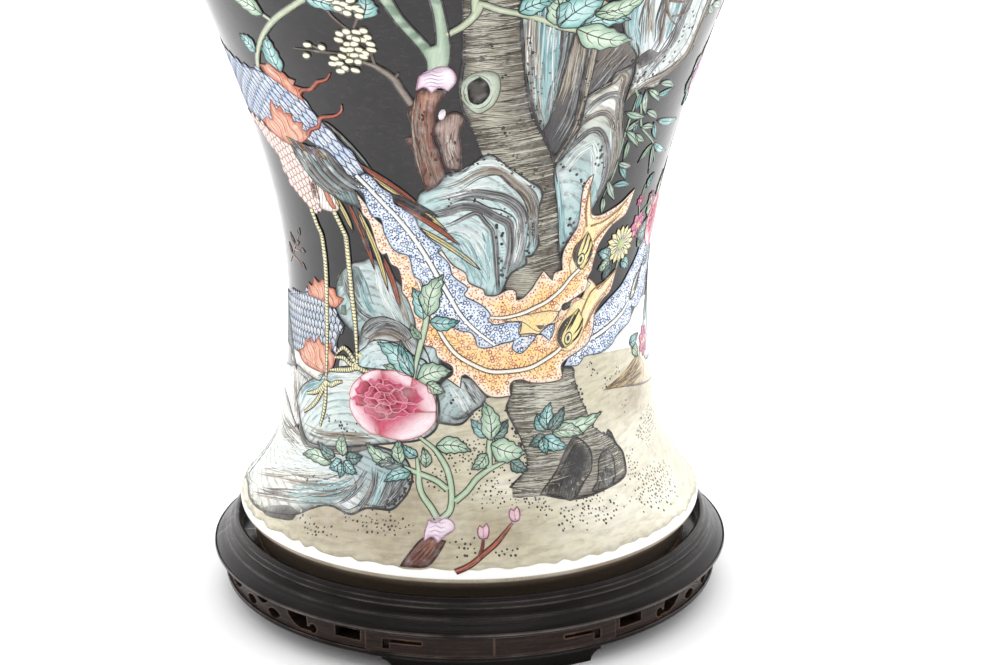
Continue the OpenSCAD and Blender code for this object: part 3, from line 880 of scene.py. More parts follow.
def rock_behind_legs(work):
    """The rock behind the legs of the bird, with a hollow."""
    behind = [(-44, 127), (-43.5, 138), (-40, 147), (-35.7, 151.6), (-32, 153.5), (-28.6, 156),
              (-25, 152), (-21, 146), (-17, 139), (-16, 124), (-20, 118), (-36, 118)]
    work.rock("rock_behind_legs", behind, 0,
              between((198, 214, 214), (178, 196, 196), (-34, 152), (-24, 124), (92, 104, 104), 2.4),
              round_about((-30, 108), 0.8),
              ((((-40.8, 146), (-38.7, 138), (-34, 128.4), (-28.8, 126)), 5, 34, CHARCOAL),
               (((-35.5, 150), (-33, 142), (-32, 134), (-29, 128)), 6, 30, TEAL_WASH),
               (((-26.3, 152), (-24.5, 139), (-21, 128)), 6, 34, PAPER),
               (((-22, 146), (-20, 136), (-18, 124)), 3, 18, GREY_BROWN)))
    work.hollows.area([(-35.6, 150), (-33.6, 150), (-32, 145), (-31.6, 139), (-33, 134.6), (-35.6, 137),
                       (-36.4, 144)], 0.8, rim((92, 98, 100), (150, 160, 160), 1.8))


def leftmost_rock(work):
    """The rock at the left edge."""
    leftmost = [(-75, 88), (-64.4, 92.8), (-60, 93.6), (-56.2, 91.2), (-55, 88.5), (-60, 82), (-64, 74),
                (-61.5, 66), (-70, 60), (-90, 60), (-90, 80)]
    work.rock("rock_leftmost", leftmost, 0.5,
              between((206, 202, 196), (214, 212, 208), (-60, 90), (-78, 66), (110, 104, 100), 2),
              straight(70),
              ((((-66, 92), (-60, 91), (-57, 88)), 6, 30, CHARCOAL),
               (((-68, 90), (-66, 80), (-64, 68)), 8, 24, GREY_BROWN)))


def arch_and_step(work):
    """The dark arch under the bird and the pale step in it."""
    step = [(-43, 104), (-38, 108), (-35.2, 114.6), (-33.8, 121.4), (-31.4, 125.6), (-28.6, 127.6),
            (-25, 128.3), (-19.6, 125.6), (-15.6, 120.5), (-12, 112), (-11.5, 100), (-22, 96),
            (-42, 96)]
    work.rock("rock_dark_arch", step, 1,
              between((150, 152, 152), (206, 220, 218), (-25, 124), (-26, 108), (86, 90, 90), 1.8),
              round_about((-26, 100), 0.9),
              ((((-34, 118), (-28.8, 124.6), (-24.3, 126.4), (-20, 124.6), (-17, 119)), 6, 80,
                CHARCOAL),
               (((-34, 112), (-30, 119), (-24.4, 121.5), (-20, 119), (-17.6, 114)), 3.4, 24,
                GREY_BROWN), (((-43, 107), (-40.6, 114), (-37, 120)), 5, 26, TEAL_WASH),
               (((-42, 106), (-40, 112), (-38, 118)), 4, 16, CHARCOAL)))
    pale = [(-33, 112.6), (-30.6, 116), (-26.4, 117.6), (-20, 116), (-16.6, 112), (-13, 110),
            (-11, 104), (-12, 98), (-30, 99), (-40, 104)]
    work.rock("rock_pale_step", pale, 2.2,
              between((204, 224, 226), (190, 214, 216), (-26, 118), (-24, 100)),
              round_about((-26, 96), 0.9), ((((-34, 108), (-26, 112), (-16, 108)), 6, 20, PAPER),))


def boulder(work):
    """The pale boulder that the bird stands on, and the hollow below it."""
    boulder = [(-66, 76), (-63.5, 72), (-61.5, 67.4), (-58.3, 62.4), (-55, 60.4), (-46.2, 62.2),
               (-38.2, 65), (-31, 68), (-22, 71), (-14, 74), (-9.5, 80), (-9, 92), (-12, 99),
               (-22, 103.5), (-34, 103), (-42, 101), (-49.3, 95.5), (-57, 89.3), (-63, 83)]
    work.rock("boulder", boulder, 3,
              between((222, 232, 230), (204, 216, 214), (-46, 92), (-38, 68), (132, 144, 144), 1.8),
              round_about((-36, 40), 0.9),
              ((((-59.8, 81.7), (-45, 90.8), (-34, 94), (-20, 96)), 9, 30, PAPER),
               (((-60, 66), (-52, 66), (-40, 69), (-28, 72)), 5, 30, GREY_BROWN),
               (((-63, 74), (-60, 82), (-52, 90), (-44, 97)), 4, 26, TEAL_WASH),
               (((-24, 100), (-16, 94), (-12, 84)), 5, 16, GREY_BROWN)), 2)
    work.moss(((-46, 76), (-40, 72), (-34, 76), (-30, 72)), 18, 3.9, 1.5, (0.4, 0.8))
    work.hollows.area([(-61.8, 67), (-58.6, 61.8), (-55, 59.8), (-46.2, 61.6), (-38.2, 64.6), (-30, 68),
                       (-31, 66), (-38, 61), (-45, 57.6), (-53, 56), (-58.6, 58), (-62, 63)], 2.6,
                      rim((56, 52, 52), (112, 108, 104), 1.6))


def lowest_rock(work):
    """The long rock at the foot, with folds at its right end."""
    low = [(-92, 24), (-82, 26), (-74, 24.6), (-65, 25), (-57, 28), (-50, 31), (-46.4, 34.6),
           (-42.9, 37.4), (-39.3, 38.4), (-32.9, 37.3), (-29.3, 40.6), (-25, 41.5), (-21.8, 41.8),
           (-20, 44), (-17.3, 50.3), (-16.6, 58), (-20, 66), (-32, 68), (-45, 61), (-54, 58.4),
           (-64, 64), (-76, 72), (-92, 72)]
    work.rock("rock_lowest", low, 1.2,
              between((210, 212, 204), (158, 182, 188), (-60, 52), (-22, 48), (120, 126, 124), 2.2),
              straight(-12),
              ((((-85, 40), (-67.6, 47), (-49.6, 53), (-34, 57)), 14, 90, PAPER),
               (((-80, 30), (-62, 38), (-43.7, 45), (-34.8, 52)), 12, 44, GREY_BROWN),
               (((-60, 34), (-46, 42), (-38, 46), (-32, 54)), 8, 34, TEAL_WASH),
               (((-41.6, 39.1), (-37.6, 41.9), (-34.2, 47.1), (-30.5, 56)), 4, 34, CHARCOAL),
               (((-28, 59), (-28, 51), (-29.3, 44.3), (-31.1, 39)), 3.6, 44, CHARCOAL),
               (((-24, 58), (-25.9, 50.8), (-26.7, 45.1), (-27.5, 41)), 3, 34, TEAL_WASH),
               (((-21, 60), (-22.9, 50.8), (-24, 45), (-25, 42)), 3, 36, CHARCOAL),
               (((-17.9, 56), (-20.6, 49.8), (-22.4, 46), (-24.7, 42.4)), 3.4, 40, CHARCOAL),
               (((-84, 60), (-70, 58), (-58, 56)), 10, 24, GREY_BROWN)), 3)
    for guide in (((-27.9, 58), (-28, 51), (-29.3, 44.3), (-31.1, 38.6)),
                  ((-23, 57), (-24.4, 50.8), (-25.6, 45.1), (-26.5, 41)),
                  ((-36, 54), (-33.6, 48), (-35.4, 43), (-39, 39.6))):
        work.fold_line(guide, 2.6)
    work.moss(((-52, 46), (-44, 44), (-40, 47)), 12, 2.8, 1.4, (0.3, 0.6))
    work.moss(((-23, 43), (-20, 47), (-18, 52), (-17.4, 56)), 26, 2.8, 0.8, (0.4, 0.8))
    work.hollows.area([(-65, 25.6), (-60, 29.6), (-54.6, 32.4), (-50, 32), (-50.4, 28.4), (-54.6, 26.6),
                       (-61, 24.8)], 2.2, rim((70, 64, 60), (110, 104, 98), 1.4))


def small_rocks(work):
    """Two small rocks beside the peony and two pale hollows."""
    work.rock("rock_small_mid",
              [(-15.4, 110), (-14, 116), (-11.6, 119), (-9.2, 116), (-8.6, 108), (-12, 105)], 2,
              rim((204, 220, 220), (150, 166, 168), 2), straight(60),
              ((((-13, 108), (-11, 116)), 4, 10, PAPER),))
    work.rock("rock_small_low",
              [(-1.4, 103), (1.1, 101.8), (3.9, 96), (5, 93.6), (3.9, 90), (1.4, 87.4), (-2.5, 81.5),
               (-9.6, 82), (-9.6, 93), (-7.9, 100.5), (-4.6, 104)], 2,
              between((206, 216, 216), (160, 170, 170), (-6, 98), (0, 84), (112, 120, 116), 1.8),
              round_about((-2, 84), 0.9),
              ((((-1, 102), (1.4, 96), (3.6, 92)), 4, 34, CHARCOAL),
               (((-5, 101), (-2, 93), (0, 86)), 5, 26, PAPER),
               (((-8, 86), (-3, 84), (1, 88)), 3, 16, CHARCOAL)))
    work.moss(((-5, 94), (-4, 88), (0, 88)), 7, 3.2, 1.2, (0.4, 0.8))
    for outline in ([(-43.2, 138.5), (-42, 144), (-40.6, 145.6), (-40.2, 140)],
                    [(-42.4, 125.6), (-41.6, 130), (-39.8, 130.6), (-39.8, 126)]):
        work.hollows.area(outline, 1, rim((170, 190, 174), (110, 128, 118), 1.2))


def pale_bank():
    """The white bank at the right, with a few grey strokes."""
    haze = Enamel("pale_bank", enamel("enamel_pale_bank", (0.2, 1), 0.2))
    haze.area([(43, 104), (49.5, 108.5), (60.5, 115.1), (66, 120), (74, 121), (82, 117), (91, 113),
               (91, 78), (65, 90), (52, 98)], -0.4, plain((246, 246, 242)), straight(8))
    for k in range(9):
        haze.line([(60 + 2 * k, 110 - 0.6 * k), (64 + 2 * k, 113 - 0.8 * k)], 0.4, 0.6, (190, 190, 186),
                  (0.2, 0.2))
    return haze


def rocks(rng):
    """The garden rocks: pale teal washes with folds drawn in charcoal by a dry brush."""
    work = RockWork(rng)
    for draw in (hatched_ground, tall_slab, buff_strip, dark_patch, arched_rock, upper_right_rock,
                 folded_rock, rock_behind_legs, leftmost_rock, arch_and_step, boulder, lowest_rock,
                 small_rocks):
        draw(work)
    return work.pieces + [work.strokes, work.hollows, pale_bank(), work.ink]


def trunk_bark(ink, rng):
    """The trunk, with close short strokes from both sides."""
    bark = Enamel("trunk", enamel("enamel_bark", (0.1, 1.5), 0.9, hatch=0.9, pitch=0.9))
    outline = [(-0.5, 286), (-0.5, 251), (-1.1, 243), (-1.3, 233), (-0.7, 227), (1.8, 217), (3.6, 208),
               (6, 200), (7, 170), (8, 150), (10.7, 144), (14.3, 138), (22, 138), (28, 150),
               (26.4, 162), (25.4, 177), (24.6, 181), (23.9, 192), (22.5, 200), (20.4, 209),
               (17.9, 216), (15.4, 224), (13.6, 235), (12.5, 246.5), (10.8, 268), (10.5, 286)]

    def shade(points, depth):
        x = points[:, 0] / MM_PER_DEGREE
        middle = np.interp(points[:, 1], (140, 180, 208, 230, 264), (19, 17.5, 12, 6, 5))
        side = np.clip(np.abs(x - middle + 1.5) / 8, 0, 1)[:, None]
        colour = linear((192, 188, 170)) + (linear((124, 116, 103)) - linear((192, 188, 170))) * side
        return linear((70, 66, 62)) + (colour - linear((70, 66, 62))) * np.clip(depth / 1.6, 0, 1)[:,
                                                                                                   None]
    bark.area(outline, 1.6, shade, straight(-9))
    for side in (outline[:7], outline[17:]):
        ink.line(side, 1.0, 2, INK, swell=0.3)
    for _ in range(620):
        z = rng.uniform(152, 284)
        left = np.interp(z, (150, 200, 208, 217, 227, 264), (9, 6, 3.6, 1.8, -0.7, -0.5))
        right = np.interp(z, (150, 177, 200, 216, 235, 264), (27.5, 25.2, 22.3, 17.7, 13.4, 10.6))
        if rng.random() < 0.5:
            start, reach = right, -rng.uniform(0.25, 0.75)
        else:
            start, reach = left, rng.uniform(0.2, 0.6)
        end = start + (right - left) * reach
        if abs(z - 236) < 12 and min(start, end) < 6.5:
            continue
        rise = (end - start) * 0.22
        ink.line([(start, z), ((start + end) / 2, z + rise / 2 + rng.uniform(-0.8, 0.3)),
                  (end, z + rise + rng.uniform(-1.4, 1))], rng.uniform(0.25, 0.6),
                 2 + 0.4 * rng.random(),
                 rng.choice(((92, 86, 76), (116, 108, 94), (62, 57, 52), (84, 78, 68),
                             (200, 198, 182))), (1, 0.1), spacing=3)
    return bark


def trunk_knot(ink):
    """The knot hole: a pale ring with turning lines round a dark middle."""
    matt = enamel("enamel_knot", (0.5, 1.4), 0.3, rough=0.7)
    matt.node_tree.nodes["Principled BSDF"].inputs["Specular IOR Level"].default_value = 0.05
    knot = Enamel("trunk_knot", matt)
    ring = [(-1.4, 235), (-0.8, 241), (1.2, 244.6), (4.2, 245.8), (6.8, 244), (7.4, 237), (6.2, 230.6),
            (4.2, 227.4), (2.4, 226.4), (0.2, 229.6)]
    knot.area(ring, 2.4, rim((200, 210, 194), (170, 180, 162), 1.2), straight(80))
    for start, size in ((20, 0.9), (150, 0.84), (250, 0.94)):
        turns = [math.radians(start + 25 * k) for k in range(5)]
        knot.line([(2.5 + 3.6 * size * math.cos(a), 236.4 + 8.2 * size * math.sin(a)) for a in turns],
                  0.35, 2.9, (112, 120, 104), (0.2, 0.2))
    knot.area([(0.5, 236.4), (0.7, 240), (2.9, 243), (4.4, 240.4), (5, 236), (4, 232.4), (2.6, 230.8),
               (1, 232)], 5, rim((92, 88, 84), (44, 40, 40), 1.6), outline=0.6)
    ink.border(ring, 0.45, 3, (96, 92, 80))
    return knot


def trunk_moss(ink, rng):
    """Dots of moss in small groups on the trunk."""
    moss = ((5.4, 257), (8.2, 219.6), (9.6, 216), (13.6, 197.6), (17.5, 198), (19.3, 196), (20.2, 173),
            (12, 206), (3, 252), (8, 243), (17, 184), (22, 168), (13, 222), (21, 190))
    for x, z in moss:
        for _ in range(4):
            ink.dot((x + rng.uniform(-0.7, 0.7), z + rng.uniform(-1, 1)), rng.uniform(0.3, 0.7), 2.2,
                    (48, 44, 42), 5)


def roots(ink, rng):
    """The spreading foot of the tree, with its strokes and two dark hollows."""
    root = Enamel("roots", enamel("enamel_root", (0.12, 1.3), 0.7, hatch=0.85, pitch=1.2))
    base = [(13.2, 104), (16, 102.5), (25, 101), (28.9, 101), (29.3, 103.6), (33.2, 102), (33.4, 98),
            (35, 89), (37, 82.4), (39.3, 73.4), (41.4, 70.3), (44.3, 67), (45.7, 69), (47, 67),
            (48.6, 61.5), (51.4, 55.3), (50.4, 46.5), (41, 44), (30, 43.5), (20, 48), (11.4, 52.4),
            (16.8, 61), (15.4, 73.4), (13.6, 79), (11.1, 88), (12.5, 93.6)]
    root.area(base, 3, between((206, 204, 188), (140, 134, 122), (16, 92), (46, 52), (84, 78, 70), 2.6),
              straight(-8))
    ink.border(base, 0.9, 3.5)
    for _ in range(420):
        z = rng.uniform(48, 101)
        left = np.interp(z, (52, 61, 73, 88, 100), (12, 17, 15.6, 11.5, 14))
        right = np.interp(z, (50, 61, 70, 82, 98), (50, 48.5, 41.5, 37, 33.4))
        start, reach = (left, rng.uniform(0.12, 0.5)) if rng.random() < 0.55 else (right,
                                                                                   -rng.uniform(0.12,
                                                                                                0.45))
        end = start + (right - left) * reach
        ink.line([(start, z), ((start + end) / 2, z - rng.uniform(0, 1)),
                  (end, z + rng.uniform(-1.6, 0.6))], rng.uniform(0.25, 0.6), 3.5 + 0.4 * rng.random(),
                 rng.choice(((96, 92, 82), (72, 68, 64), (124, 118, 106), (198, 196, 180))), (1, 0.1),
                 spacing=3)
    for hollow in ([(20, 47.8), (25.4, 56.5), (28.6, 64), (30.4, 67.8), (32, 70), (34.3, 69),
                    (37.9, 62.4), (37.5, 54), (35, 50.3), (29.3, 43.4), (25.4, 46)],
                   [(40.4, 56), (42, 59.6), (44.6, 60), (46.4, 56.5), (46.6, 52), (45.7, 47),
                    (41.4, 44), (36, 44.6), (39.3, 49)]):
        root.area(hollow, 3.8, rim((44, 40, 40), (112, 108, 100), 3), straight(60))
        edge = ink.border(hollow, 0.8, 4.3)
        dry_brush(ink, [hollow[0], hollow[2], hollow[4]], 5, 16, 4.2,
                  ((92, 90, 90), (120, 118, 112), (40, 36, 38)), rng, edge=edge)
    return root


def bank_ridge(ink, rng):
    """The brown ridge of earth to the right of the roots."""
    ridge = Enamel("bank", enamel("enamel_bank", (0.4, 1.2), 0.6))
    bank = [(45.2, 88), (49.7, 89.9), (56.3, 92.3), (62.1, 95.3), (66, 96), (70, 92), (72, 86),
            (69, 81), (58.8, 84.2), (51.1, 86.4)]
    ridge.area(bank, 1.6, between((176, 152, 112), (206, 188, 150), (48, 88), (66, 92)), straight(30))
    edge = spline(hand(bank), True, 1.6)
    browns = ((120, 96, 66), (150, 122, 84), (98, 80, 60), (208, 186, 140))
    for guide in (((45, 88), (51.5, 90.4), (58.4, 92.1), (66, 96)),
                  ((47, 87.4), (57, 88.4), (67.7, 91.6)), ((50, 86.4), (59, 86.3), (69.5, 86.8))):
        dry_brush(ridge, guide, 3.4, 34, 2.2, browns, rng, edge=edge)
    ridge.line([(44.8, 87.8), (51.2, 86.5), (58.8, 84.2), (68.3, 80.7), (79.3, 77.5), (88, 76)], 0.8,
               2.4, (92, 80, 66), (0.2, 0.6))
    moss_row(ink, ((46, 90), (50, 93), (54, 95)), 12, 2.4, rng, 1.2, (0.3, 0.6))
    moss_row(ink, ((37, 105), (40, 100), (42, 98)), 10, 2.4, rng, 1.2, (0.3, 0.6))
    return ridge


def trunk(rng):
    """The old tree on its bank: trunk, knot, roots and moss, with one set of ink lines."""
    ink = Enamel("trunk_ink", enamel("enamel_trunk_ink"))
    bark, knot = trunk_bark(ink, rng), trunk_knot(ink)
    trunk_moss(ink, rng)
    root, ridge = roots(ink, rng), bank_ridge(ink, rng)
    moss_row(ink, ((33, 99), (36, 88), (40, 72), (48, 64)), 22, 4.4, rng, 0.7, (0.4, 0.8))
    moss_row(ink, ((11, 92), (12, 84), (15, 72)), 16, 4.4, rng, 0.7, (0.4, 0.8))
    return [bark, knot, root, ridge, ink]


def stump_wood(rng):
    """The red-brown stump in two faces, its lowest end and their brush strokes."""
    wood = Enamel("stump", enamel("enamel_stump", (0.14, 1.2), 0.8, hatch=0.5, pitch=1.6))
    outline = [(-10.2, 237), (-11.4, 231.5), (-13.3, 226), (-12.1, 216.5), (-14.5, 214), (-12.9, 209),
               (-12.5, 201.5), (-11.8, 198), (-10.4, 190), (-7.5, 193), (-5.7, 198), (-6, 201.5),
               (-7, 209), (-7.9, 214.6), (-7.3, 221.5), (-6.8, 228.4), (-4.3, 237)]
    wood.area(outline, 4,
              between((178, 128, 104), (136, 98, 84), (-9, 232), (-9, 196), (108, 66, 54), 1.8),
              straight(84), outline=0.7, ink=(84, 46, 40))
    side = [(-2.9, 227), (-7.6, 220.3), (-6.4, 212), (-5.2, 201.5), (-1.4, 200), (-1.3, 210),
            (-1.6, 218.4), (-0.4, 224)]
    wood.area(side, 3.6,
              between((196, 170, 160), (150, 128, 120), (-2, 224), (-4, 204), (104, 80, 74), 1.5),
              straight(84), outline=0.7, ink=(84, 60, 56))
    for x, z in ((-10.6, 228), (-9.4, 218), (-11.6, 211), (-8.8, 206), (-10.4, 199), (-4, 214),
                 (-3.4, 206)):
        wood.line([(x - 1.2, z - 2.6), (x, z), (x + 0.5, z + 3.4)], 0.7, 4.6, (98, 56, 48), (0.2, 0.1))
        wood.dot((x + 1.2, z - 1), 0.6, 4.6, (84, 46, 40), 6, 1.5)
    wood.dot((-10.2, 224.5), 1.2, 4.6, (78, 42, 38), 8, 1.5)
    wood.dot((-10.2, 224.5), 0.6, 4.9, (206, 160, 140), 8, 1.5)
    lower = [(-11.4, 33), (-6.1, 32), (-8.2, 26), (-10.4, 22.4), (-16.4, 21.8), (-15, 26)]
    wood.area(lower, 4, between((158, 106, 86), (110, 70, 58), (-9, 31), (-14, 23), (90, 52, 44), 1.5),
              straight(60), outline=0.7, ink=(74, 40, 36))
    dry_brush(wood, ((-10, 233), (-11, 222), (-10.6, 208), (-9, 195)), 5, 50, 4.5,
              ((176, 104, 82), (160, 142, 130), (124, 92, 80), (188, 170, 156), (84, 62, 56)), rng,
              (0.4, 1.1))
    dry_brush(wood, ((-3, 222), (-4.4, 212), (-3, 202)), 4, 22, 4.1,
              ((216, 200, 188), (150, 120, 110), (230, 220, 212)), rng)
    for k in range(4):
        wood.line([(-14.5 + k, 23), (-12.6 + k * 1.2, 27), (-10.4 + k, 31)], 0.5, 4.6, (84, 48, 42),
                  (0.3, 0.1))
    return wood


def green_branches():
    """The pale green branches above the stump and the stems below it."""
    green = Enamel("green_branches", enamel("enamel_branch", (0.2, 2), 0.3))
    arms = [(-18, 282), (-15.6, 274), (-13, 265), (-9.6, 256), (-8.2, 250), (-8, 244), (-4.4, 243),
            (-3.4, 249.6), (-3, 256), (-3.6, 268), (-5, 281), (-7, 281), (-6, 268), (-6, 258),
            (-7, 257), (-9, 262), (-12, 270), (-15, 282)]
    green.area(arms, 4, rim((186, 204, 182), (122, 146, 124), 1.6), straight(80), outline=0.6)
    stems = (((-7.5, 40), (-5.4, 43.4), (-5, 49), (-5.4, 55.3), (-6.4, 61), (-8.2, 66), (-10.4, 70.3),
              (-15, 75.3)),
             ((-8.6, 40.3), (-10.7, 44.6), (-13.2, 49), (-14.3, 53.4), (-14.6, 59), (-15.2, 65.3)),
             ((-6.1, 52), (-9.6, 56), (-15, 58.7), (-19.3, 61)),
             ((-4.1, 47), (-0.7, 51.5), (2.1, 57), (5.7, 61), (10, 64)),
             ((5.7, 61.5), (5.7, 68.4), (6.4, 80)),
             ((-12.4, 140), (-12.1, 132.4), (-13.3, 123), (-14.7, 115.5), (-16, 107), (-16.6, 101)))
    for k, stem in enumerate(stems):
        layer = 7.4 if k == 5 else 4
        green.stem(stem, (3.1, 2.2), (layer, layer + 0.6), ((74, 80, 66), (190, 212, 182)), (1, 0.6),
                   (1, 0.55))
    left = ((-55.1, 236), (-52.2, 245.3), (-47.8, 254.2), (-42.7, 262.3), (-36.7, 269.6), (-30, 277),
            (-22, 282))
    for branch, width in ((left, 2.2), (((-42.7, 262.3), (-45.5, 265.2)), 1.3),
                          (((-3.8, 262), (-0.5, 266), (1.8, 271), (2.8, 276), (6.4, 272.9),
                            (10.5, 270.8), (14.5, 268.2), (19, 264.1), (22.8, 262)), 2.4),
                          (((1.8, 272), (2, 280), (4, 288)), 2)):
        green.stem(branch, (width + 0.9, width), (3.4, 4), ((88, 92, 76), (196, 206, 178)), (0.9, 1))
    return green


def cut_collars():
    """The pale collars where the bark ends, with lilac wavy lines."""
    blush = Enamel("cut_collars", enamel("enamel_blush", (0.4, 1.2), 0.25))
    for outline, base in (([(-10.8, 237), (-9.8, 243.4), (-7.9, 245.3), (-6.1, 247.4), (-3.9, 247.8),
                            (-2.4, 245), (-2.3, 241), (-3.9, 237), (-5.8, 239), (-7.5, 236),
                            (-9, 238.6)], (-6.5, 241)),
                          ([(-11.6, 35), (-10.9, 39.4), (-8.9, 38.6), (-6.8, 40.4), (-4.6, 39.4),
                            (-4, 36.5), (-6.4, 34), (-7.9, 31.6), (-9.6, 33.6), (-11.4, 31.8)],
                           (-8, 36))):
        blush.area(outline, 6.2, rim((250, 240, 246), (228, 206, 222), 2.6), outline=0.5,
                   ink=(170, 130, 150))
        for k in range(5):
            x, z = base[0] - 2.6, base[1] - 3 + 1.7 * k
            blush.line([(x, z), (x + 1.6, z + 1.2), (x + 3.2, z + 0.4), (x + 4.4, z + 1)], 0.5, 6.9,
                       (206, 170, 204), (0.3, 0.2))
    return blush


def buds(wood):
    """The white buds, and the twig of the stump's wood that carries two of them."""
    bud = Enamel("buds", enamel("enamel_bud"))
    bud.dot((-5.5, 226), 1.2, 5, (238, 226, 230), 9, 2.2, -14)
    twig = ((-3.4, 20.6), (0, 23.4), (3.6, 27.8), (6.4, 31), (9.3, 35.3), (11.1, 38))
    wood.line(twig, 2.2, 3, (110, 52, 44), (1.2, 0.5), spacing=1.2)
    wood.line(twig, 1.2, 3.6, (186, 112, 92), (1.2, 0.4), spacing=1.2)
    wood.line([(2, 26), (3, 30), (3.4, 34)], 1.4, 3, (120, 60, 50), (1, 0.6))
    for x, z in ((3.4, 35.3), (12, 41)):
        bud.area([(x - 1, z - 2.2), (x - 1.5, z + 0.6), (x - 0.9, z + 2.4), (x - 0.1, z + 1.5),
                  (x + 0.9, z + 3.2), (x + 1.5, z + 1), (x + 0.9, z - 2.2)], 4,
                 rim((250, 236, 240), (226, 186, 200), 1.4), outline=0.5, ink=(130, 70, 90))
        bud.line([(x, z - 2), (x, z + 2)], 0.4, 5, (190, 120, 140), (1, 0.2))
    return bud


def stump(rng):
    """The stump with its branches, collars and buds."""
    wood = stump_wood(rng)
    return [wood, green_branches(), cut_collars(), buds(wood)]


# ---- leaves and flowers ----

GREEN_LEAF = ((212, 230, 208), (150, 186, 158))
TEAL_LEAF = ((196, 232, 228), (118, 178, 176))
DARK_LEAF = ((150, 178, 170), (86, 120, 116))
BAMBOO_LEAF = ((222, 234, 218), (164, 190, 172))
OVAL = (0, 0.55, 0.9, 1, 0.86, 0.92, 0.6, 0.56, 0.2, 0)
LANCE = (0, 0.55, 0.9, 1, 0.9, 0.62, 0.3, 0)
ROUND = (0, 0.7, 1, 1.06, 0.95, 0.62, 0)


def blade(base, tip, width, shape, bend=0.0):
    """Outline of a leaf, petal or feather from its base to its tip, in hand coordinates."""
    p, q = hand([base, tip])
    length = np.linalg.norm(q - p)
    ahead = (q - p) / max(length, 1e-6)
    side = np.array([-ahead[1], ahead[0]])
    t = np.linspace(0, 1, len(shape))
    middle = p + np.outer(t * length, ahead) + np.outer(np.sin(math.pi * t) * bend * length, side)
    half = np.outer(np.array(shape) * width / 2, side)
    outline = np.concatenate([middle + half, (middle - half)[-2:0:-1]])
    return outline / (MM_PER_DEGREE, 1)


def along(base, tip, t, bend=0.0, aside=0.0):
    """A place part of the way from base to tip, with the same bend as a blade, set aside in mm."""
    p, q = hand([base, tip])
    length = np.linalg.norm(q - p)
    ahead = (q - p) / max(length, 1e-6)
    side = np.array([-ahead[1], ahead[0]])
    return as_place(p + ahead * length * t + side * (math.sin(math.pi * t) * bend * length + aside))


def leaf(piece, base, tip, width, tones, layer, bend=0.08, veins=4, shape=OVAL):
    """A leaf with a paler middle, a dark outline, a midrib and side veins."""
    inner, edge = tones
    piece.area(blade(base, tip, width, shape, bend), layer, rim(inner, edge, width * 0.3), straight(0),
               outline=0.5, spacing=1.0)
    rib = [along(base, tip, t, bend) for t in (0.02, 0.3, 0.6, 0.93)]
    piece.line(rib, 0.45, layer + 0.6, INK, (1, 0.2))
    for k in range(veins):
        t = 0.18 + 0.62 * k / max(veins - 1, 1)
        reach = width * 0.34 * math.sin(math.pi * min(0.9, t + 0.15))
        for way in (-1, 1):
            ends = [along(base, tip, t, bend), along(base, tip, t + 0.07, bend, way * reach * 0.6),
                    along(base, tip, min(t + 0.2, 0.97), bend, way * reach)]
            piece.line(ends, 0.28, layer + 0.6, INK, (1, 0.2))


def leaves(name, places, layer=6):
    """Leaves from rows of (base, tip, width, tones)."""
    piece = Enamel(name, enamel(name.replace("leaves", "leaf_enamel"), (0.8, 0.8), 0.3))
    for k, (base, tip, width, tones) in enumerate(places):
        leaf(piece, base, tip, width, tones, layer + 0.9 * (k % 3), 0.1 if k % 2 else -0.08)
    return piece


def lower_leaves():
    """The leaves round the peony and along the sand."""
    g, t, d = GREEN_LEAF, TEAL_LEAF, DARK_LEAF
    rows = [((6.3, 72), (16.8, 67), 11, g), ((-9.6, 71.5), (0.7, 69.3), 8, g),
            ((6.3, 74), (4.3, 92), 9, g), ((6.6, 76), (0.5, 84), 6, t), ((6.8, 75), (11.5, 83), 6, d),
            ((5, 68), (0.5, 61), 6, g), ((12, 64), (17, 59), 6, d), ((23.6, 76), (25, 88.6), 7, t),
            ((24, 76), (29.5, 85.5), 6, d), ((23, 76), (20.4, 84.4), 6, t),
            ((24.6, 76), (43.8, 78.4), 8.5, g), ((25, 74.5), (36, 70.5), 7, g),
            ((22.1, 73.4), (30, 66.5), 7, t), ((22.5, 74), (17.5, 70), 6, d),
            ((22, 73), (23, 65), 5, t), ((-21.8, 61.8), (-31.8, 69), 7, g),
            ((-16.8, 59), (-25, 52.8), 6, t), ((-20, 62), (-20.7, 73.4), 6, g),
            ((-19, 61), (-28, 60), 6, d), ((-39.6, 60.3), (-40.2, 70.3), 7, g),
            ((-39, 58), (-34, 54), 6, t), ((-40, 58), (-44.5, 52.8), 6, t),
            ((-38.5, 60), (-32.5, 62.5), 6, d), ((-40, 57), (-40, 50), 5, t),
            ((-43.6, 55.6), (-57.9, 53.4), 7, g), ((-42.5, 59), (-51, 62.5), 5.5, d),
            ((-12.5, 61.5), (-13.5, 70.5), 5, g), ((-15, 66), (-20, 71), 5, t)]
    return leaves("leaves_low", rows)


def middle_leaves():
    """The leaves above the peony."""
    g, t = GREEN_LEAF, TEAL_LEAF
    rows = [((-13.2, 129.3), (-16.4, 144), 8, t), ((-12, 131), (-6.8, 151), 10, g),
            ((-11.4, 128.3), (-2.4, 129), 7, t), ((-14, 120), (-17.4, 127), 4, g),
            ((-16.5, 103), (-28.4, 116.5), 11, t), ((-16.6, 102), (-20.6, 119), 6, t),
            ((-17.6, 101), (-26.5, 106), 6.5, g), ((-15.4, 101), (-4.8, 106), 10, g),
            ((-12.4, 100), (-7, 96), 6, g)]
    return leaves("leaves_middle", rows, 8)


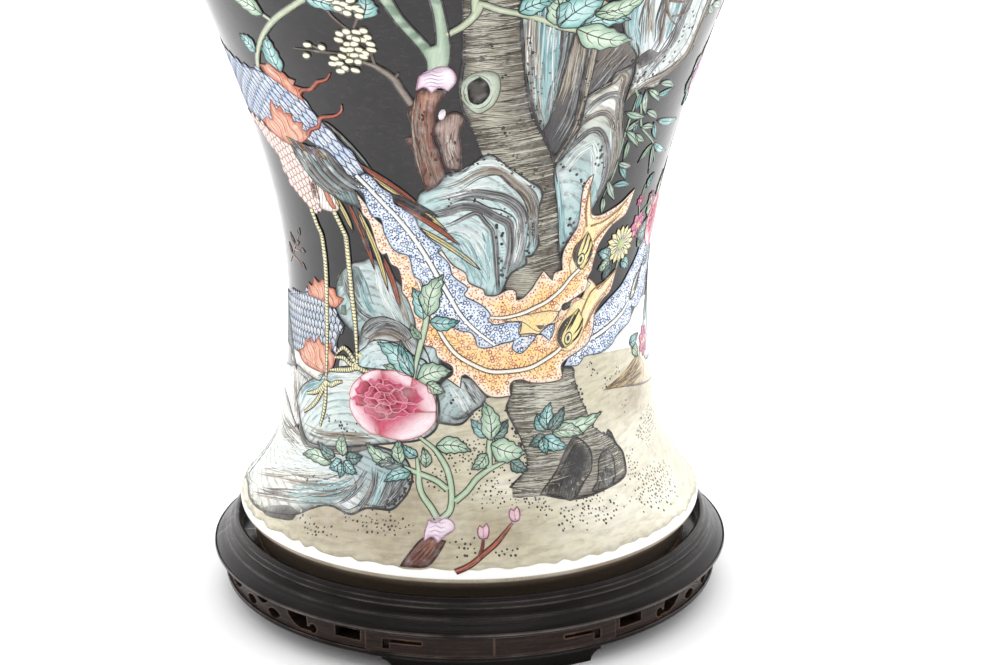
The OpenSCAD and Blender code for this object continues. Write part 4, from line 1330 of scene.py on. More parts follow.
def upper_leaves():
    """The leaves at the upper edge of the photograph."""
    g, t = GREEN_LEAF, TEAL_LEAF
    rows = [((-52.6, 246), (-58, 252), 8, t), ((-45.8, 238.5), (-46.1, 255.5), 9, t),
            ((-45, 265), (-55, 271), 9, g), ((-32, 275), (-24, 270), 7, t),
            ((-20.4, 268), (-19, 279), 8, t), ((10.2, 271.5), (17, 276), 8, t),
            ((18, 265), (16.6, 280), 8, g), ((18.5, 264.2), (28, 276), 13, t),
            ((22.5, 262.6), (37, 254.5), 11, g), ((23, 264), (35, 264), 8, t),
            ((26, 268), (38, 275), 9, g), ((2.2, 281), (10, 287), 8, g), ((1.8, 280), (-5, 289), 8, t)]
    return leaves("leaves_upper", rows, 5)


def bamboo():
    """Bamboo leaves in fans of narrow pale blades."""
    piece = Enamel("bamboo", enamel("enamel_bamboo", (0.5, 0.9), 0.3))
    rows = (((51, 230.6), (60, 225.6)), ((51.8, 224.6), (59.3, 226)), ((47, 229), (54.3, 220.3)),
            ((46.4, 229), (49.3, 216)), ((44.6, 228.4), (44.3, 219.3)), ((41, 220.3), (49.6, 215.6)),
            ((48.9, 218.4), (56, 212)), ((55.7, 211.8), (72, 207)), ((42.9, 211), (50.4, 200.3)),
            ((42.9, 211), (47.5, 215.3)), ((46.4, 209), (46.8, 216)), ((47, 208.4), (52.9, 202.8)),
            ((48.6, 211), (55.7, 208.4)), ((54.3, 211.5), (58.9, 201.5)), ((45, 206), (45, 195.7)),
            ((40.4, 189), (45.5, 177)), ((42.9, 185.4), (51, 183)), ((57.5, 200.4), (52, 193)),
            ((57.5, 200.4), (60, 185)), ((57.5, 200.4), (71, 192)), ((40, 181), (40.5, 172)),
            ((43, 196), (49.5, 192.5)), ((44, 194), (48, 186)), ((62, 262), (69, 256.5)),
            ((64, 262), (75, 256)))
    twigs = (((42, 231), (46, 222), (49, 211), (57.5, 200.4), (62, 190)),
             ((44, 228), (43, 210), (42.4, 192), (40, 181)))
    for twig in twigs:
        piece.line(twig, 1.0, 2.6, (150, 176, 150), (1, 0.3))
    for k, (base, tip) in enumerate(rows):
        tones = (BAMBOO_LEAF, TEAL_LEAF, GREEN_LEAF)[k % 3]
        width = 2.3 + 0.05 * math.dist(*hand([base, tip]))
        piece.area(blade(base, tip, width, LANCE, 0.05 * (-1) ** k), 3.2 + 0.8 * (k % 2),
                   rim(tones[0], tones[1], 1.4), outline=0.45, spacing=1.3)
        piece.line([along(base, tip, t, 0.05 * (-1) ** k) for t in (0.05, 0.5, 0.92)], 0.35, 4.6, INK,
                   (1, 0.2))
    return piece


OUTER_PETALS = (((-0.75, 0.35), (-0.76, 0.6), (-0.5, 0.86), (-0.2, 0.94), (-0.1, 0.6), (-0.4, 0.3)),
                ((-0.22, 0.93), (0.1, 1), (0.42, 0.9), (0.6, 0.7), (0.3, 0.45), (-0.1, 0.5)),
                ((0.5, 0.84), (0.8, 0.64), (0.97, 0.3), (1, -0.1), (0.85, -0.15), (0.5, 0.05),
                 (0.46, 0.5)),
                ((-0.74, 0.64), (-0.94, 0.34), (-1, 0), (-0.8, -0.12), (-0.5, 0), (-0.56, 0.35)),
                ((1, -0.1), (0.98, -0.4), (0.75, -0.76), (0.4, -0.97), (0.05, -1), (-0.28, -0.9),
                 (-0.3, -0.55), (0.1, -0.3), (0.6, -0.15)),
                ((-1, -0.06), (-0.97, -0.36), (-0.76, -0.7), (-0.45, -0.93), (-0.22, -0.95),
                 (-0.26, -0.6), (-0.45, -0.25), (-0.75, -0.08)))
HEART = np.array([-0.1, 0.14])
HEART_RINGS = ((0.44, 0.74, 8), (0.2, 0.5, 6), (0.0, 0.24, 3))    # inner and outer radius, folds
RED_PEONY = ((140, 16, 34), (200, 52, 94), (253, 230, 236))
YELLOW_PEONY = ((206, 150, 60), (244, 212, 122), (253, 246, 214))
LILAC_PEONY = ((112, 64, 140), (196, 150, 210), (248, 236, 250))


def peony(name, centre, size, rng, tones=RED_PEONY, layer=7):
    """A full peony: six broad petals, pale at the edge, round a heart of folded dark ones."""
    deep, pink, pale = tones
    piece = Enamel(name, enamel("enamel_" + name, (0.9, 0.4), 0.25))

    def at(place):
        return (centre[0] + place[0] * size[0], centre[1] + place[1] * size[1])

    def spot(a, r):
        return at(HEART + r * np.array([math.sin(a), 0.8 * math.cos(a)]))
    piece.area([at((0.9 * math.sin(a), 0.86 * math.cos(a))) for a in np.linspace(0, 2 * math.pi, 12,
                                                                                 endpoint=False)],
               layer - 1, rim(pink, pink, 1), spacing=2)
    for k, petal in enumerate(OUTER_PETALS):
        tip = HEART + (np.mean(petal, 0) - HEART) * 1.5
        piece.area([at(place) for place in petal], layer + 0.8 * k,
                   between(pink, pale, at(HEART + (tip - HEART) * 0.45),
                           at(HEART + (tip - HEART) * 0.82)),
                   straight(math.degrees(math.atan2(tip[1], tip[0]))), outline=0.4, ink=(196, 110, 110),
                   spacing=1.2)
    soft = tuple(int(a * 0.8 + b * 0.2) for a, b in zip(pink, pale))
    edge = tuple(int(a * 0.45 + b * 0.55) for a, b in zip(pink, pale))
    for ring, (inner, outer, count) in enumerate(HEART_RINGS):
        turns = [2 * math.pi * (k + 0.5 * (ring % 2) + rng.uniform(-0.16,
                                                                   0.16)) / count for k in range(count)]
        for k, start in enumerate(turns):
            stop = turns[(k + 1) % count] + (2 * math.pi if k + 1 == count else 0)
            reach = outer * rng.uniform(0.9, 1.1)
            fold = [spot(start, inner), spot(start, outer * 0.92)]
            fold += [spot(start + (stop - start) * t, reach * (1 + 0.08 * bulge))
                     for t, bulge in ((0.25, 1), (0.5, rng.uniform(-1, 0.4)), (0.75, 1))]
            fold += [spot(stop, outer * 0.92), spot(stop, inner)]
            middle = (start + stop) / 2
            piece.area(fold, layer + 5 + 1.2 * ring,
                       between(soft, deep, spot(middle, reach),
                               spot(middle, inner + (reach - inner) * 0.35)),
                       straight(math.degrees(middle)), outline=0.42, ink=edge, spacing=1.0)
    return piece


def blossom(piece, place, radius, layer, petals, tones, heart, ink=BROWN_INK):
    """A small open flower with rounded petals and a dotted heart."""
    x, z = place
    for k in range(petals):
        a = 2 * math.pi * k / petals + x
        tip = (x + radius * math.sin(a) / MM_PER_DEGREE, z + radius * math.cos(a))
        piece.area(blade(place, tip, radius * 4.4 / petals, ROUND), layer + 0.25 * (k % 2),
                   rim(tones[0], tones[1], radius * 0.35), outline=0.35, ink=ink, spacing=1.0)
        piece.line([along(place, tip, 0.3), along(place, tip, 0.75)], 0.25, layer + 0.9, ink, (1, 0.2))
    piece.dot(place, radius * 0.24, layer + 1.2, heart, 7)


def plum_branch(rng):
    """The grey branch at the upper left with its cream buds and blossoms, and the red tendrils."""
    twig = Enamel("plum_twig", enamel("enamel_twig", (0.3, 2), 0.6))
    main = ((-12.1, 230), (-14.3, 237), (-15.7, 242), (-19.3, 247), (-22, 248.5), (-26, 251),
            (-28.9, 251.4), (-38.9, 251.5))
    twig.stem(main[:5], (3.4, 2.2), (3, 3.6), ((80, 70, 66), (150, 138, 128)), (1.1, 0.7), (1.1, 0.6))
    twig.line(main[4:], 1.5, 3, (96, 84, 76), (1, 0.3))
    for path in (((-14.3, 244.6), (-16, 240)),
                 ((-22, 248), (-23.4, 254), (-23.5, 261.5), (-25, 264.6), (-27, 268.7), (-28.5, 275),
                  (-31, 282)), ((-22.5, 263.6), (-21.5, 267.4), (-20.6, 271.9)),
                 ((-19.3, 247), (-19.8, 254), (-20, 262)), ((-26, 251), (-28, 246), (-27.5, 243)),
                 ((-30, 251.4), (-35, 255)), ((-24, 250), (-21, 251), (-19, 254))):
        twig.line(path, 1.1, 3, (112, 98, 88), (1, 0.3))
    for path in (((-41.4, 229.6), (-40, 232), (-37.5, 232.8), (-35.7, 235.3), (-34.6, 237),
                  (-32, 238.7), (-30.5, 242)),
                 ((-42.9, 209.6), (-41, 213.4), (-38.2, 215.3), (-36.8, 219.6), (-34.6, 221),
                  (-32, 222), (-30, 224.6), (-29.5, 227.8))):
        twig.stem(path, (1.9, 1.1), (7, 7.6), ((110, 44, 34), (186, 92, 66)), (1, 0.3))
    for path in (((-72, 140), (-68, 145), (-64, 151), (-60, 157)), ((-68, 145), (-62, 143)),
                 ((-66, 148), (-61, 149))):
        twig.line(path, 0.7, 1, (176, 140, 122), (1, 0.3))
    for base, tip in (((-68, 145), (-70, 150)), ((-64, 151), (-67, 156)), ((-62, 143), (-58.6, 141)),
                      ((-61, 149), (-57.4, 150)), ((-60, 157), (-58.6, 161)),
                      ((-64, 151), (-60.6, 153.4))):
        leaf(twig, base, tip, 2.4, ((206, 180, 162), (160, 128, 110)), 1.4, veins=2, shape=LANCE)
    buds = Enamel("plum_buds", enamel("enamel_plum", (0.8, 0.8), 0.2))
    places = ((-26, 260.5), (-26.5, 257.7), (-24.3, 261.8), (-23.5, 259.4), (-22, 261.9),
              (-20.5, 262.7), (-19.9, 259.9), (-21, 258.6), (-19.5, 257), (-19.5, 254.4),
              (-24.5, 256.2), (-25.7, 253.5), (-24.3, 253.8), (-23.6, 251.4), (-22.2, 254),
              (-21, 252.6), (-21.5, 251.1), (-23, 248.5), (-25, 248.6), (-26.5, 250.4), (-28.5, 249.1),
              (-29.2, 246.5), (-27.5, 247), (-26.4, 245.1), (-24, 244.5), (-27.7, 243.5),
              (-34.6, 253.9), (-35.7, 248.8), (-31, 253.5), (-23, 256.6), (-22.4, 258.8), (-25, 274.6),
              (-23.5, 274), (-22.5, 272.5), (-24.2, 271.3), (-21.1, 272.9), (-20.5, 271.9),
              (-20.8, 269.3), (-23.2, 270.2), (-25, 272), (-26.4, 276), (-22, 276))
    for k, (x, z) in enumerate(places):
        turn = rng.uniform(0, 180)
        buds.dot((x, z), 1.9, 4 + 0.24 * k, (110, 104, 82), 12, 0.82, turn)
        buds.dot((x, z), 1.6, 4.12 + 0.24 * k, (248, 245, 222), 12, 0.82, turn)
    buds.area([(-25.4, 252), (-24, 255), (-22, 254.6), (-21, 252), (-22.6, 250.2), (-24.6, 250)], 3.6,
              (226, 222, 168))
    return [twig, buds]


def right_flowers():
    """The daisy, the pink flowers and their leaves at the right."""
    piece = Enamel("daisy", enamel("enamel_daisy", (0.8, 0.8), 0.25))
    centre = (51.6, 154.6)
    for k in range(16):
        a = 2 * math.pi * k / 16
        tip = (centre[0] + 10.4 * math.sin(a) / MM_PER_DEGREE, centre[1] + 9 * math.cos(a))
        piece.area(blade(centre, tip, 3.3, (0, 0.35, 0.6, 0.85, 1, 0.95, 0.6, 0)), 3 + 0.3 * (k % 2),
                   between((252, 250, 236), (246, 236, 160), centre, tip), outline=0.35, ink=BROWN_INK,
                   spacing=1.2)
    piece.dot(centre, 3.1, 5.2, (164, 186, 128), 12, 0.8)
    for k in range(10):
        a = k * 2.4
        piece.dot((centre[0] + 1.1 * math.sin(a), centre[1] + 1.4 * math.cos(a)), 0.4, 5.9,
                  (226, 206, 110), 5)
    piece.line([(51.6, 148), (50, 140), (48, 133)], 1.2, 2.6, (150, 176, 140), (1, 1))
    pink = Enamel("pink_flowers", enamel("enamel_pink", (0.8, 0.8), 0.25))
    tones = ((250, 222, 232), (222, 142, 172))
    for place, radius in (((58.9, 172.6), 2.8), ((60.4, 160.5), 6.4), ((72.5, 100), 7.5),
                          ((68, 170), 4.2)):
        blossom(pink, place, radius, 4, 7, tones, (236, 214, 130), (150, 60, 100))
    twigs = (((60, 180), (58.9, 172), (60.5, 164), (62.5, 154), (66, 148)), ((61, 166), (68, 170)),
             ((66, 92), (69, 97), (72, 99)))
    for twig in twigs:
        pink.line(twig, 0.9, 2.8, (150, 170, 140), (1, 0.4))
    rows = [((47, 150), (41.5, 154), 6, TEAL_LEAF), ((47, 149), (42, 145.5), 6, GREEN_LEAF),
            ((48, 146), (44.5, 140), 5, DARK_LEAF), ((53, 146), (58, 141), 5.5, TEAL_LEAF),
            ((60, 104), (67, 106), 6, TEAL_LEAF), ((62, 101), (66, 95), 6, GREEN_LEAF),
            ((62, 152), (67, 150), 4, GREEN_LEAF), ((61, 178), (65, 184), 4.4, TEAL_LEAF)]
    return [piece, pink, leaves("leaves_right", rows, 4)]


# ---- birds ----

BLUE, PALE_BLUE = (188, 210, 236), (238, 243, 248)
RUST, PALE_RUST = (206, 122, 92), (236, 178, 152)


def clipped(piece, path, edge, width, layer, colour):
    """The stretches of a line that lie inside an outline, as raised lines."""
    keep = inside(path, edge)
    start = None
    for i, kept in enumerate(list(keep) + [False]):
        if kept and start is None:
            start = i
        elif not kept and start is not None:
            if i - start > 2:
                piece.ribbon(path[start:i], width, layer, colour, (0.4, 0.3))
            start = None


def hatching(piece, outline, angle, pitch, width, layer, colour, wave=0.0, bow=0.0):
    """Parallel lines across an outline: they may wave, or bow to one side."""
    edge = spline(hand(outline), True, 1.5)
    centre = edge.mean(0)
    reach = np.linalg.norm(edge - centre, axis=1).max()
    c, s = math.cos(math.radians(angle)), math.sin(math.radians(angle))
    t = np.arange(-reach, reach, 1.2)
    for k, offset in enumerate(np.arange(-reach, reach, pitch)):
        across = offset + wave * np.sin(t * 0.7 + k) + bow * (t / reach) ** 2
        path = centre + np.outer(t, (c, s)) + np.outer(across, (-s, c))
        clipped(piece, path, edge, width, layer, colour)


def stippled(piece, outline, pitch, layer, colours, paper, rng):
    """A busy ground of small dots, rings and short curved strokes that fill an outline."""
    edge = spline(hand(outline), True, 1.6)
    low, high = edge.min(0), edge.max(0)
    places = np.array([(x + (j % 2) * pitch / 2 + rng.uniform(-0.4, 0.4), y + rng.uniform(-0.4, 0.4))
                       for j, y in enumerate(np.arange(low[1], high[1], pitch * 0.87))
                       for x in np.arange(low[0], high[0], pitch)])
    places = places[inside(places, edge)]
    depth = edge_distance(places, edge)
    for p, room in zip(places, depth):
        kind, colour = rng.random(), rng.choice(colours)
        if room < 0.5:
            continue
        place = as_place(p)
        if kind < 0.17 and room > 1.2:
            piece.dot(place, 0.95, layer, colour, 10)
            piece.dot(place, 0.5, layer + 0.8, paper, 7)
        elif kind < 0.42 and room > 1.6:
            a, size = rng.uniform(0, math.pi), rng.uniform(0.8, 1.5)
            d, n = np.array([math.cos(a), math.sin(a)]), np.array([-math.sin(a), math.cos(a)])
            piece.ribbon(np.array([p - d * size, p + n * 0.5, p + d * size]), 0.42, layer, colour,
                         (0.6, 0.3))
        else:
            piece.dot(place, rng.uniform(0.26, 0.5), layer, colour, 6, rng.uniform(0.8, 1.5),
                      rng.uniform(0, 180))


def scales(piece, outline, pitch, size, turn, layer, tones, ink, shape):
    """Overlapping scales that fill an outline, their tips turned to one side."""
    edge = spline(hand(outline), True, 2.0)
    centre = edge.mean(0)
    c, s = math.cos(math.radians(turn)), math.sin(math.radians(turn))
    ahead, side = np.array([c, s]), np.array([-s, c])
    reach = np.linalg.norm(edge - centre, axis=1).max()
    rows = np.arange(reach, -reach, -pitch[0])
    for j, u in enumerate(rows):
        for v in np.arange(-reach, reach, pitch[1]):
            p = centre + ahead * u + side * (v + (j % 2) * pitch[1] / 2)
            base, tip = p - ahead * size[0] * 0.55, p + ahead * size[0] * 0.45
            if not inside(np.array([p]), edge)[0]:
                continue
            base, tip = as_place(base), as_place(tip)
            tone = tones[(j * 7 + int(v * 3)) % len(tones)]
            at = layer + 0.2 * (j % 4)
            piece.area(blade(base, tip, size[1], shape), at, between(tone[1], tone[0], base, tip),
                       outline=0.42, ink=ink, spacing=1.6)
            piece.line([along(base, tip, 0.45), along(base, tip, 0.86)], 0.3, at + 0.6, ink, (1, 0.2))


def rust_patch(piece, outline, layer, curl):
    """A rust feather patch with pale and dark bowed lines."""
    piece.area(outline, layer, rim(PALE_RUST, RUST, 2.2), straight(30), outline=0.4, ink=(130, 60, 44))
    hatching(piece, outline, 112, 4.2, 0.7, layer + 0.6, (226, 150, 120), 0.8, curl)
    hatching(piece, outline, 116, 4.6, 0.5, layer + 0.9, (158, 76, 54), 0.8, curl)


def bird_back():
    """The scaled blue back and the striped band below it."""
    body = Enamel("bird_back", enamel("enamel_back", (0.6, 1.2), 0.3))
    base = [(-98, 250), (-90, 243), (-84, 241), (-72, 239), (-66, 237), (-60, 236), (-55.7, 236.5),
            (-50, 235), (-45.4, 231), (-41.8, 228), (-39.6, 224), (-37.9, 220.3), (-35, 215.5),
            (-32, 209), (-29, 203.5), (-27, 196), (-30.7, 194), (-33.6, 196), (-35.7, 201), (-40, 206),
            (-45, 208), (-52, 209), (-60, 210), (-66, 211), (-72, 212), (-78, 214), (-84, 222),
            (-90, 230), (-97, 238)]
    body.area(base, 4, between(PALE_BLUE, BLUE, (-70, 236), (-34, 200), (70, 92, 126), 1.2),
              straight(-50), outline=0.8)
    blue_tones = (((250, 252, 253), (158, 186, 236)), ((246, 249, 252), (176, 200, 240)),
                  ((252, 252, 252), (196, 212, 242)))
    scales(body, base, (5.2, 3.1), (8.2, 3.5), -50, 4.6, blue_tones, (92, 100, 120),
           (0, 0.6, 0.95, 1, 0.7, 0.36, 0))
    band = [(-36, 218.4), (-32, 212), (-28.8, 206), (-25.9, 200), (-24.9, 198.6), (-27, 204.5),
            (-31, 212.5), (-34.5, 217.6)]
    body.area(band, 5.6, between((150, 132, 108), (130, 152, 150), (-40, 224), (-26, 199)),
              straight(-58), outline=0.5)
    hatching(body, band, -58, 0.9, 0.3, 6.2, (84, 84, 84))
    return body


def bird_rust():
    """The rust collar and shoulder."""
    rust = Enamel("bird_rust", enamel("enamel_rust", (0.5, 1.4), 0.45))
    rust_patch(rust,
               [(-52, 236.5), (-53, 240), (-50.4, 240.5), (-49, 242), (-46.4, 239.4), (-44.6, 238.5),
                (-43.6, 236.6), (-41.6, 236), (-42.6, 233.4), (-39.4, 232.8), (-41.2, 230.4),
                (-40.4, 226.4), (-44, 229.4), (-47, 232.4), (-50, 234.8)], 6.6, 3)
    rust_patch(rust,
               [(-63, 210.6), (-59, 213.6), (-56.6, 213.4), (-55.6, 218.8), (-53.6, 223.6),
                (-52.4, 219.4), (-50.2, 222), (-49.6, 218.4), (-46.6, 219.4), (-46.8, 215.6),
                (-43.2, 216), (-44.2, 212.6), (-41.2, 211.6), (-43.4, 208.4), (-46.4, 205.4),
                (-50, 203.8), (-53, 203.6), (-56.4, 205), (-60, 207)], 7, 4)
    return rust


def bird_breast():
    """The netted breast and the striped thigh."""
    breast = Enamel("bird_breast", enamel("enamel_breast", (0.8, 0.8), 0.2))
    front = [(-84, 222), (-80, 212), (-74, 209), (-66, 208.5), (-60, 206.6), (-56, 204.8),
             (-51.8, 203.6), (-50, 198), (-46.4, 191.4), (-44.8, 189), (-45, 176), (-47.5, 173.6),
             (-50, 173.8), (-52, 176), (-55, 180), (-57.5, 185), (-59, 190), (-61, 197), (-65, 202),
             (-72, 206), (-80, 210)]
    breast.area(front[3:], 4.6,
                between((250, 246, 240), (238, 226, 210), (-54, 200), (-50, 178), (176, 158, 136), 1.4),
                straight(40), outline=0.7)
    scales(breast, front[3:], (3.0, 3.0), (4.2, 3.4), -62, 5.2, (((252, 248, 244), (246, 236, 226)),),
           (196, 150, 140), (0, 0.8, 1, 1, 0.8, 0))
    thigh = [(-44.6, 190), (-42.3, 187), (-38.9, 184), (-37.2, 180.4), (-37.6, 176.4), (-40, 174.6),
             (-42.9, 174.6), (-45.2, 175.6), (-46, 183)]
    breast.area(thigh, 5, rim((250, 246, 240), (206, 184, 158), 1.8), straight(70), outline=0.7)
    hatching(breast, thigh, 80, 1.8, 0.32, 5.8, (140, 100, 84), 0.1, 1)
    breast.area([(-42.2, 187), (-40.4, 184), (-38.6, 177), (-40, 176.4), (-41.8, 181)], 5.9,
                rim((220, 130, 100), RUST, 1), outline=0.3)
    breast.area([(-47.2, 176), (-46, 176), (-45.2, 184), (-45.6, 190), (-47.2, 189)], 5.6, (74, 68, 70),
                straight(90))
    return breast


def bird_wing():
    """The striped wing with six plumes and coloured coverts."""
    wing = Enamel("bird_wing", enamel("enamel_wing", (0.25, 2), 0.5))
    outline = [(-51, 203.6), (-46, 204), (-41, 205), (-38, 205), (-35.5, 202), (-33, 196.5), (-32, 191),
               (-31, 186), (-29.8, 179.4), (-33, 180), (-36, 181), (-40, 184.2), (-43, 187),
               (-46.4, 190.5), (-50, 198)]
    wing.area(outline, 6,
              between((206, 208, 206), (120, 144, 144), (-46, 202), (-34, 184), (74, 86, 88), 1.2),
              straight(-55), outline=0.8)
    hatching(wing, outline, -56, 1.7, 0.5, 6.6, (70, 84, 86), 0, -5)
    plumes = (((226, 234, 232), (150, 162, 162)), ((176, 170, 162), (120, 114, 108)),
              ((210, 226, 224), (136, 150, 152)), ((158, 154, 148), (104, 100, 98)),
              ((214, 228, 226), (146, 158, 160)), ((140, 136, 132), (92, 90, 88)))
    for k, tone in enumerate(plumes):
        start = (-49.6 + 2.3 * k, 202.4 + 0.5 * k)
        wing.area(blade(start, (start[0] + 11.6, start[1] - 19.5 + 0.6 * k), 2.9,
                        (0, 0.7, 0.95, 1, 1, 0.85, 0), -0.12), 7 + 0.15 * k, rim(*tone, 1.0),
                  straight(-60), outline=0.35)
    coverts = ((226, 196, 90), (150, 130, 184), (214, 224, 236), (206, 122, 92))
    for k in range(9):
        start = (-52 + 1.35 * k, 207.2 - 0.35 * k)
        wing.area(blade(start, (start[0] + 3.4, start[1] - 4.6), 1.7, ROUND), 8.2 + 0.2 * (k % 2),
                  rim(coverts[k % 4], tuple(int(c * 0.8) for c in coverts[k % 4]), 0.8), outline=0.35)
    return wing


def bird_legs():
    """Two legs and their toes, banded all along."""
    legs = Enamel("bird_legs", enamel("enamel_legs", (0.5, 1.2), 0.25))
    bones = (((-49.3, 173.6), (-47.9, 166), (-46.8, 162), (-47, 148), (-48.2, 129), (-48.4, 117),
              (-48.9, 91)),
             ((-39.6, 175), (-37.5, 167), (-36.8, 164), (-37.1, 150), (-37, 135.5), (-36.3, 123),
              (-35.7, 103)))
    toes = (((-48.9, 91.5), (-52, 86.6), (-54.6, 84.3), (-59, 82)),
            ((-49, 91), (-52, 83), (-55.4, 77.5), (-60, 72.5)), ((-48.8, 91), (-48.9, 80), (-50.4, 70)),
            ((-48.8, 91.5), (-46.4, 91), (-43.9, 93), (-41.4, 94.3)),
            ((-35.8, 103), (-38.6, 103.6), (-41, 105.5), (-44.8, 104.6)),
            ((-36, 103.6), (-38, 107.5), (-41, 110.2), (-44.2, 106.6)),
            ((-35.9, 102.4), (-39.3, 100.5), (-42.9, 99.3), (-47, 97.8)),
            ((-35.6, 102.6), (-32, 101.6), (-29.6, 101)))
    for path, width in [(bone, 2.3) for bone in bones] + [(toe, 1.9) for toe in toes]:
        legs.stem(path, (width + 0.8, width), (6.4, 7), ((54, 48, 44), (240, 234, 188)), (1, 0.5),
                  (1, 0.35))
        line = spline(hand(path), False, 1.7)
        for p, d in list(zip(line, headings(line)))[1:-1]:
            normal = np.array([-d[1], d[0]]) * width * 0.46
            legs.ribbon(np.array([p - normal, p + d * 0.3, p + normal]), 0.42, 7.8, (70, 60, 48))
    legs.line(((-35.8, 108), (-34.4, 108.6), (-33.2, 107.4)), 1.6, 7, (238, 230, 176), (1, 0.2))
    return legs


def bird_head():
    """A plain head, beak, crest and eye: outside the photograph."""
    head = Enamel("bird_head", enamel("enamel_head", (0.6, 1.2), 0.35))
    skull = [(-95, 240), (-99, 243), (-104, 250), (-108, 256), (-109, 262), (-105, 267.5), (-99, 268.5),
             (-94, 264), (-92, 257), (-91, 249)]
    head.area(skull, 5.4,
              between((232, 190, 120), (206, 122, 92), (-104, 264), (-95, 244), (120, 60, 44), 1.4),
              straight(60), outline=0.8)
    hatching(head, skull[:5] + skull[7:], 60, 1.9, 0.35, 6.2, (140, 70, 50), 0.1, 2)
    head.area([(-108, 262), (-113.4, 260.6), (-117, 257.4), (-113, 256.4), (-108.4, 257)], 6,
              rim((226, 206, 150), (150, 124, 84), 1.4), outline=0.6)
    head.area([(-103, 267.4), (-97, 273.5), (-88, 274), (-91, 268), (-96, 264.6)], 5,
              rim((240, 206, 110), (206, 140, 60), 2), straight(30), outline=0.6)
    head.dot((-105, 261.6), 2.0, 6.2, (246, 240, 226), 12)
    head.dot((-105, 261.6), 1.1, 6.9, (30, 26, 28), 9)
    return head


def bird():
    """The long-tailed bird: scaled back, rust collar, netted breast, striped wing and banded legs."""
    return [bird_back(), bird_rust(), bird_breast(), bird_wing(), bird_legs(), bird_head()]


def second_bird():
    """The lower bird at the left edge: rounded scales between rust patches."""
    body = Enamel("second_bird", enamel("enamel_second_bird", (0.6, 1.2), 0.35))
    outline = [(-92, 112), (-84, 119), (-78, 122), (-70, 125), (-65, 127), (-60, 130), (-55.4, 131),
               (-50, 130), (-46.4, 127.4), (-43.2, 123.6), (-40.8, 121), (-42.4, 117), (-44, 113),
               (-44.2, 106), (-47, 108), (-58, 106), (-65, 99), (-72, 97), (-84, 98)]
    body.area(outline, 3,
              between((206, 218, 230), (180, 196, 216), (-60, 130), (-56, 104), (70, 84, 104), 1.4),
              straight(0), outline=0.8)
    tones = (((250, 251, 252), (196, 212, 232)), ((244, 247, 250), (176, 196, 224)),
             ((252, 252, 252), (210, 222, 236)))
    scales(body, outline, (3.5, 3.0), (5.2, 3.3), -84, 3.6, tones, (52, 60, 80),
           (0, 0.6, 0.95, 1, 0.7, 0.3, 0))
    rust = Enamel("second_bird_rust", enamel("enamel_rust_low", (0.5, 1.4), 0.45))
    rust_patch(rust,
               [(-58.5, 129.4), (-57.8, 135.6), (-55.4, 134.6), (-54, 139.4), (-51.4, 137.6),
                (-49.3, 140), (-47, 137), (-44, 137), (-43.4, 134), (-40.4, 133.6), (-42.4, 130),
                (-44.6, 128), (-50, 129)], 5, 3)
    rust_patch(rust,
               [(-66, 99.4), (-62, 103), (-61.4, 107.4), (-59, 106.4), (-57.6, 110), (-55.4, 107.6),
                (-53, 111.6), (-50.5, 108.4), (-46, 111), (-46.6, 106.6), (-44.8, 104.6), (-46.4, 98.6),
                (-50, 95.4), (-60, 95), (-64, 96.4)], 5.4, 3)
    rust.area([(-74, 91), (-66, 92), (-58, 91), (-52, 91), (-50, 96), (-58, 97.4), (-66, 98.6),
               (-74, 97)], 4.6, rim((246, 242, 232), (206, 196, 180), 1.6), outline=0.5)
    wing = Enamel("second_bird_wing", enamel("enamel_wing_low", (0.3, 2), 0.5))
    for k in range(7):
        start = (-90 + 1.2 * k, 118 - 2.6 * k)
        wing.area(blade(start, (start[0] + 15, start[1] - 13), 4.2, (0, 0.6, 0.9, 1, 0.95, 0.7, 0),
                        0.1), 5 + 0.3 * (k % 3), rim((150, 170, 168), (84, 104, 106), 1.2),
                  straight(-40), outline=0.5)
    return [body, rust, wing]


# ---- tail feathers ----

